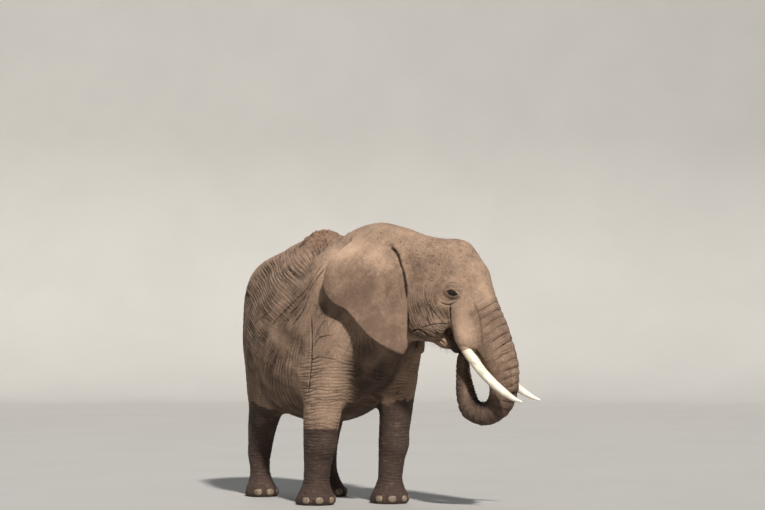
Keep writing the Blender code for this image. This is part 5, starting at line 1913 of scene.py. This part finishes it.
def eye_material():
    m = Nodes("eye", 0.28)
    m.shader.inputs["Coat Weight"].default_value = 0.40
    m.shader.inputs["Coat Roughness"].default_value = 0.05
    m.shader.inputs["Specular IOR Level"].default_value = 0.3
    away = m.mark("away")
    fibres = m.noise(900.0, 3.0, 0.6)
    iris = m.mix(m.ramp(fibres, 0.35, 0.65), linear(24, 15, 10), linear(54, 34, 20))
    colour = m.mix(m.ramp(away, 0.20, 0.25), linear(4, 4, 5), iris)
    colour = m.mix(m.ramp(away, 0.44, 0.56), colour, linear(20, 14, 11))
    colour = m.mix(m.ramp(away, 0.75, 1.15), colour, linear(52, 38, 32))
    return m.finish(colour)


def nail_material():
    m = Nodes("nail", 0.5)
    height = m.mark("height")
    streak = m.noise(1.0, 4.0, 0.6, (160, 160, 22))
    blot = m.noise(45.0, 4.0, 0.6)
    colour = m.mix(m.ramp(streak, 0.35, 0.65), linear(104, 89, 75), linear(146, 128, 107))
    colour = m.mix(m.ramp(height, -0.2, -0.9), colour, linear(96, 78, 62))
    colour = m.mix(m.ramp(height, 0.55, 0.95), colour, linear(84, 66, 54))
    colour = m.mix(m.ramp(blot, 0.50, 0.70, 0.0, 0.75), colour, linear(74, 58, 49))
    rough = m.ramp(blot, 0.3, 0.7, 0.45, 0.72)
    return m.finish(colour, rough, m.plus(streak, m.times(blot, 0.5)), 0.0012, 0.8)


def hair_material():
    m = Nodes("hair", 0.42)
    shade = m.mark("shade")
    patches = m.noise(30.0, 3.0)
    colour = m.mix(shade, linear(34, 26, 21), linear(84, 64, 50))
    colour = m.mix(m.ramp(patches, 0.55, 0.75, 0.0, 0.5), colour, linear(120, 94, 72))
    return m.finish(colour, m.ramp(patches, 0.3, 0.7, 0.36, 0.60))


# ---------------------------------------------------------------- the model
OWN_PIECES = ("eye", "tusk", "nail", "tail_tuft")   # nodes that the skin doesn't stand for
FLESH = [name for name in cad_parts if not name.startswith(OWN_PIECES)]


def shift_of_frame():
    """From the body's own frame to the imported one, told by the middle of the right eye."""
    low, high = (np.array(corner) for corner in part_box("eye_right"))
    shift = (low + high) / 2 - EYES[-1][0]
    return np.array([shift[0], shift[1], 0.0])


def elephant():
    """Every piece, with its finish and the nodes it stands for."""
    skin = skin_mesh()
    relief = Relief(points_of(skin.data), read(skin.data.vertices, "normal", 3))
    lift = relief.gather()
    points = relief.p + lift[:, None] * relief.n
    points[:, 2] = np.maximum(points[:, 2], 0.0)
    place(skin.data, points)
    for name, values in marks(relief).items():
        store(skin.data, name, values)
    spots = unwrap_skin(skin.data, relief)
    smooth(skin)
    made = [(skin, "skin", FLESH)]
    for side, word in SIDES.items():
        made.append((tusk(side), "ivory", ["tusk_" + word]))
        made.append((eyeball(side), "eye", ["eye_" + word]))
        made.append((lashes(side, relief, spots), "hair", []))
    for name, i, around in all_nails():
        made.append((nail(name, i, around), "nail", [f"nail_{name}_{i + 1}"]))
    made.append((tail_brush(), "hair", ["tail_tuft"]))
    made.append((bristles(relief, points, spots), "hair", []))
    made.append((ear_hair(relief, points, spots), "hair", []))
    return made


MATERIALS = {
    "skin": skin_material,
    "ivory": ivory_material,
    "eye": eye_material,
    "nail": nail_material,
    "hair": hair_material,
}
finishes = {name: build() for name, build in MATERIALS.items()}
SHIFT = shift_of_frame()
for thing, finish, nodes in elephant():
    place(thing.data, points_of(thing.data) + SHIFT)
    thing.data.materials.clear()
    thing.data.materials.append(finishes[finish])
    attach(thing, "root")
    if nodes:
        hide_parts(*nodes)


# ---------------------------------------------------------------- floor, light and camera
HEADING = 58.0                # degrees from the way the camera looks to her left side
DISTANCE = 20.0
EYE_LEVEL = 1.555
FOCAL, FILM = 103.5, 36.0     # millimetres: the lens, and the width of the film
ACROSS, PITCH = 0.5045, 1.90  # metres the camera stands to the right of her, degrees it looks up

cosine, sine = turned(HEADING)
looking, rightward = np.array([-sine, cosine, 0.0]), np.array([cosine, sine, 0.0])


def floor_material():
    m = Nodes("floor", 0.9)
    return m.finish(m.mix(m.ramp(m.noise(0.6, 3.0), 0.3, 0.7), linear(164, 162, 158), linear(167, 165, 161)))


def curved_floor():
    """A pale floor that bends up all round into a low wall."""
    rise, far, top, around = 6.0, 26.0, 12.0, 72
    bend = [(far + rise * math.sin(t), rise - rise * math.cos(t)) for t in np.linspace(0, math.pi / 2, 24)]
    profile = [(8.0, 0.0), (16.0, 0.0)] + bend + [(far + rise, top)]
    points, faces = [(0.0, 0.0, 0.0)], []
    for reach, height in profile:
        for t in np.arange(around) * 2 * math.pi / around:
            points.append((reach * math.cos(t), reach * math.sin(t), height))
    for j in range(around):
        k = (j + 1) % around
        faces.append((0, 1 + j, 1 + k))
        for i in range(len(profile) - 1):
            low, high = 1 + i * around, 1 + (i + 1) * around
            faces.append((low + j, high + j, high + k, low + k))
    thing = make("floor", points, faces)
    thing.data.materials.append(floor_material())
    smooth(thing)


def hang(name, data, spot, way):
    """Puts a lamp or a camera at a spot, looking along a way."""
    thing = bpy.data.objects.new(name, data)
    bpy.context.scene.collection.objects.link(thing)
    thing.location = Vector(spot)
    thing.rotation_mode = "QUATERNION"
    thing.rotation_quaternion = Vector(way).to_track_quat("-Z", "Y")
    return thing


def lamp(name, way, size, power, colour, distance=11.0, kind="AREA"):
    """A disk, or a sun whose size is an angle, that shines at her from the given way."""
    light = bpy.data.lights.new(name, kind)
    light.energy = power
    light.color = colour
    if kind == "AREA":
        light.shape = "DISK"
        light.size = size
    else:
        light.angle = size
    way = normed(way)
    hang(name, light, way * distance + UPWARD * LAMP_MIDDLE, -way)


def seen(right, above, beyond):
    """A way given as the camera sees it."""
    return rightward * right + UPWARD * above + looking * beyond


LAMP_MIDDLE = 1.2             # height the lamps are aimed at

curved_floor()
lamp("key", seen(0.22, 0.75, -0.80), math.radians(4), 5.0, (1.0, 0.965, 0.92), kind="SUN")
lamp("fill", seen(-0.8, 0.6, -0.8), 9.0, 60, (0.90, 0.95, 1.0), 14)
lamp("back", seen(-0.3, 0.6, 0.8), math.radians(50), 0.9, (0.95, 0.97, 1.0), kind="SUN")
world = bpy.data.worlds.new("soft room")
bpy.context.scene.world = world
world.use_nodes = True
backdrop = world.node_tree.nodes["Background"]
backdrop.inputs["Color"].default_value = (0.86, 0.92, 1.0, 1.0)
backdrop.inputs["Strength"].default_value = 0.15
bpy.context.scene.view_settings.view_transform = "Standard"

camera = bpy.data.cameras.new("camera")
camera.sensor_width = FILM
camera.lens = FOCAL
camera.clip_end = 200.0
cosine, sine = turned(PITCH)
stand = seen(ACROSS, EYE_LEVEL, -DISTANCE) + SHIFT
bpy.context.scene.camera = hang("camera", camera, stand, seen(0.0, sine, cosine))
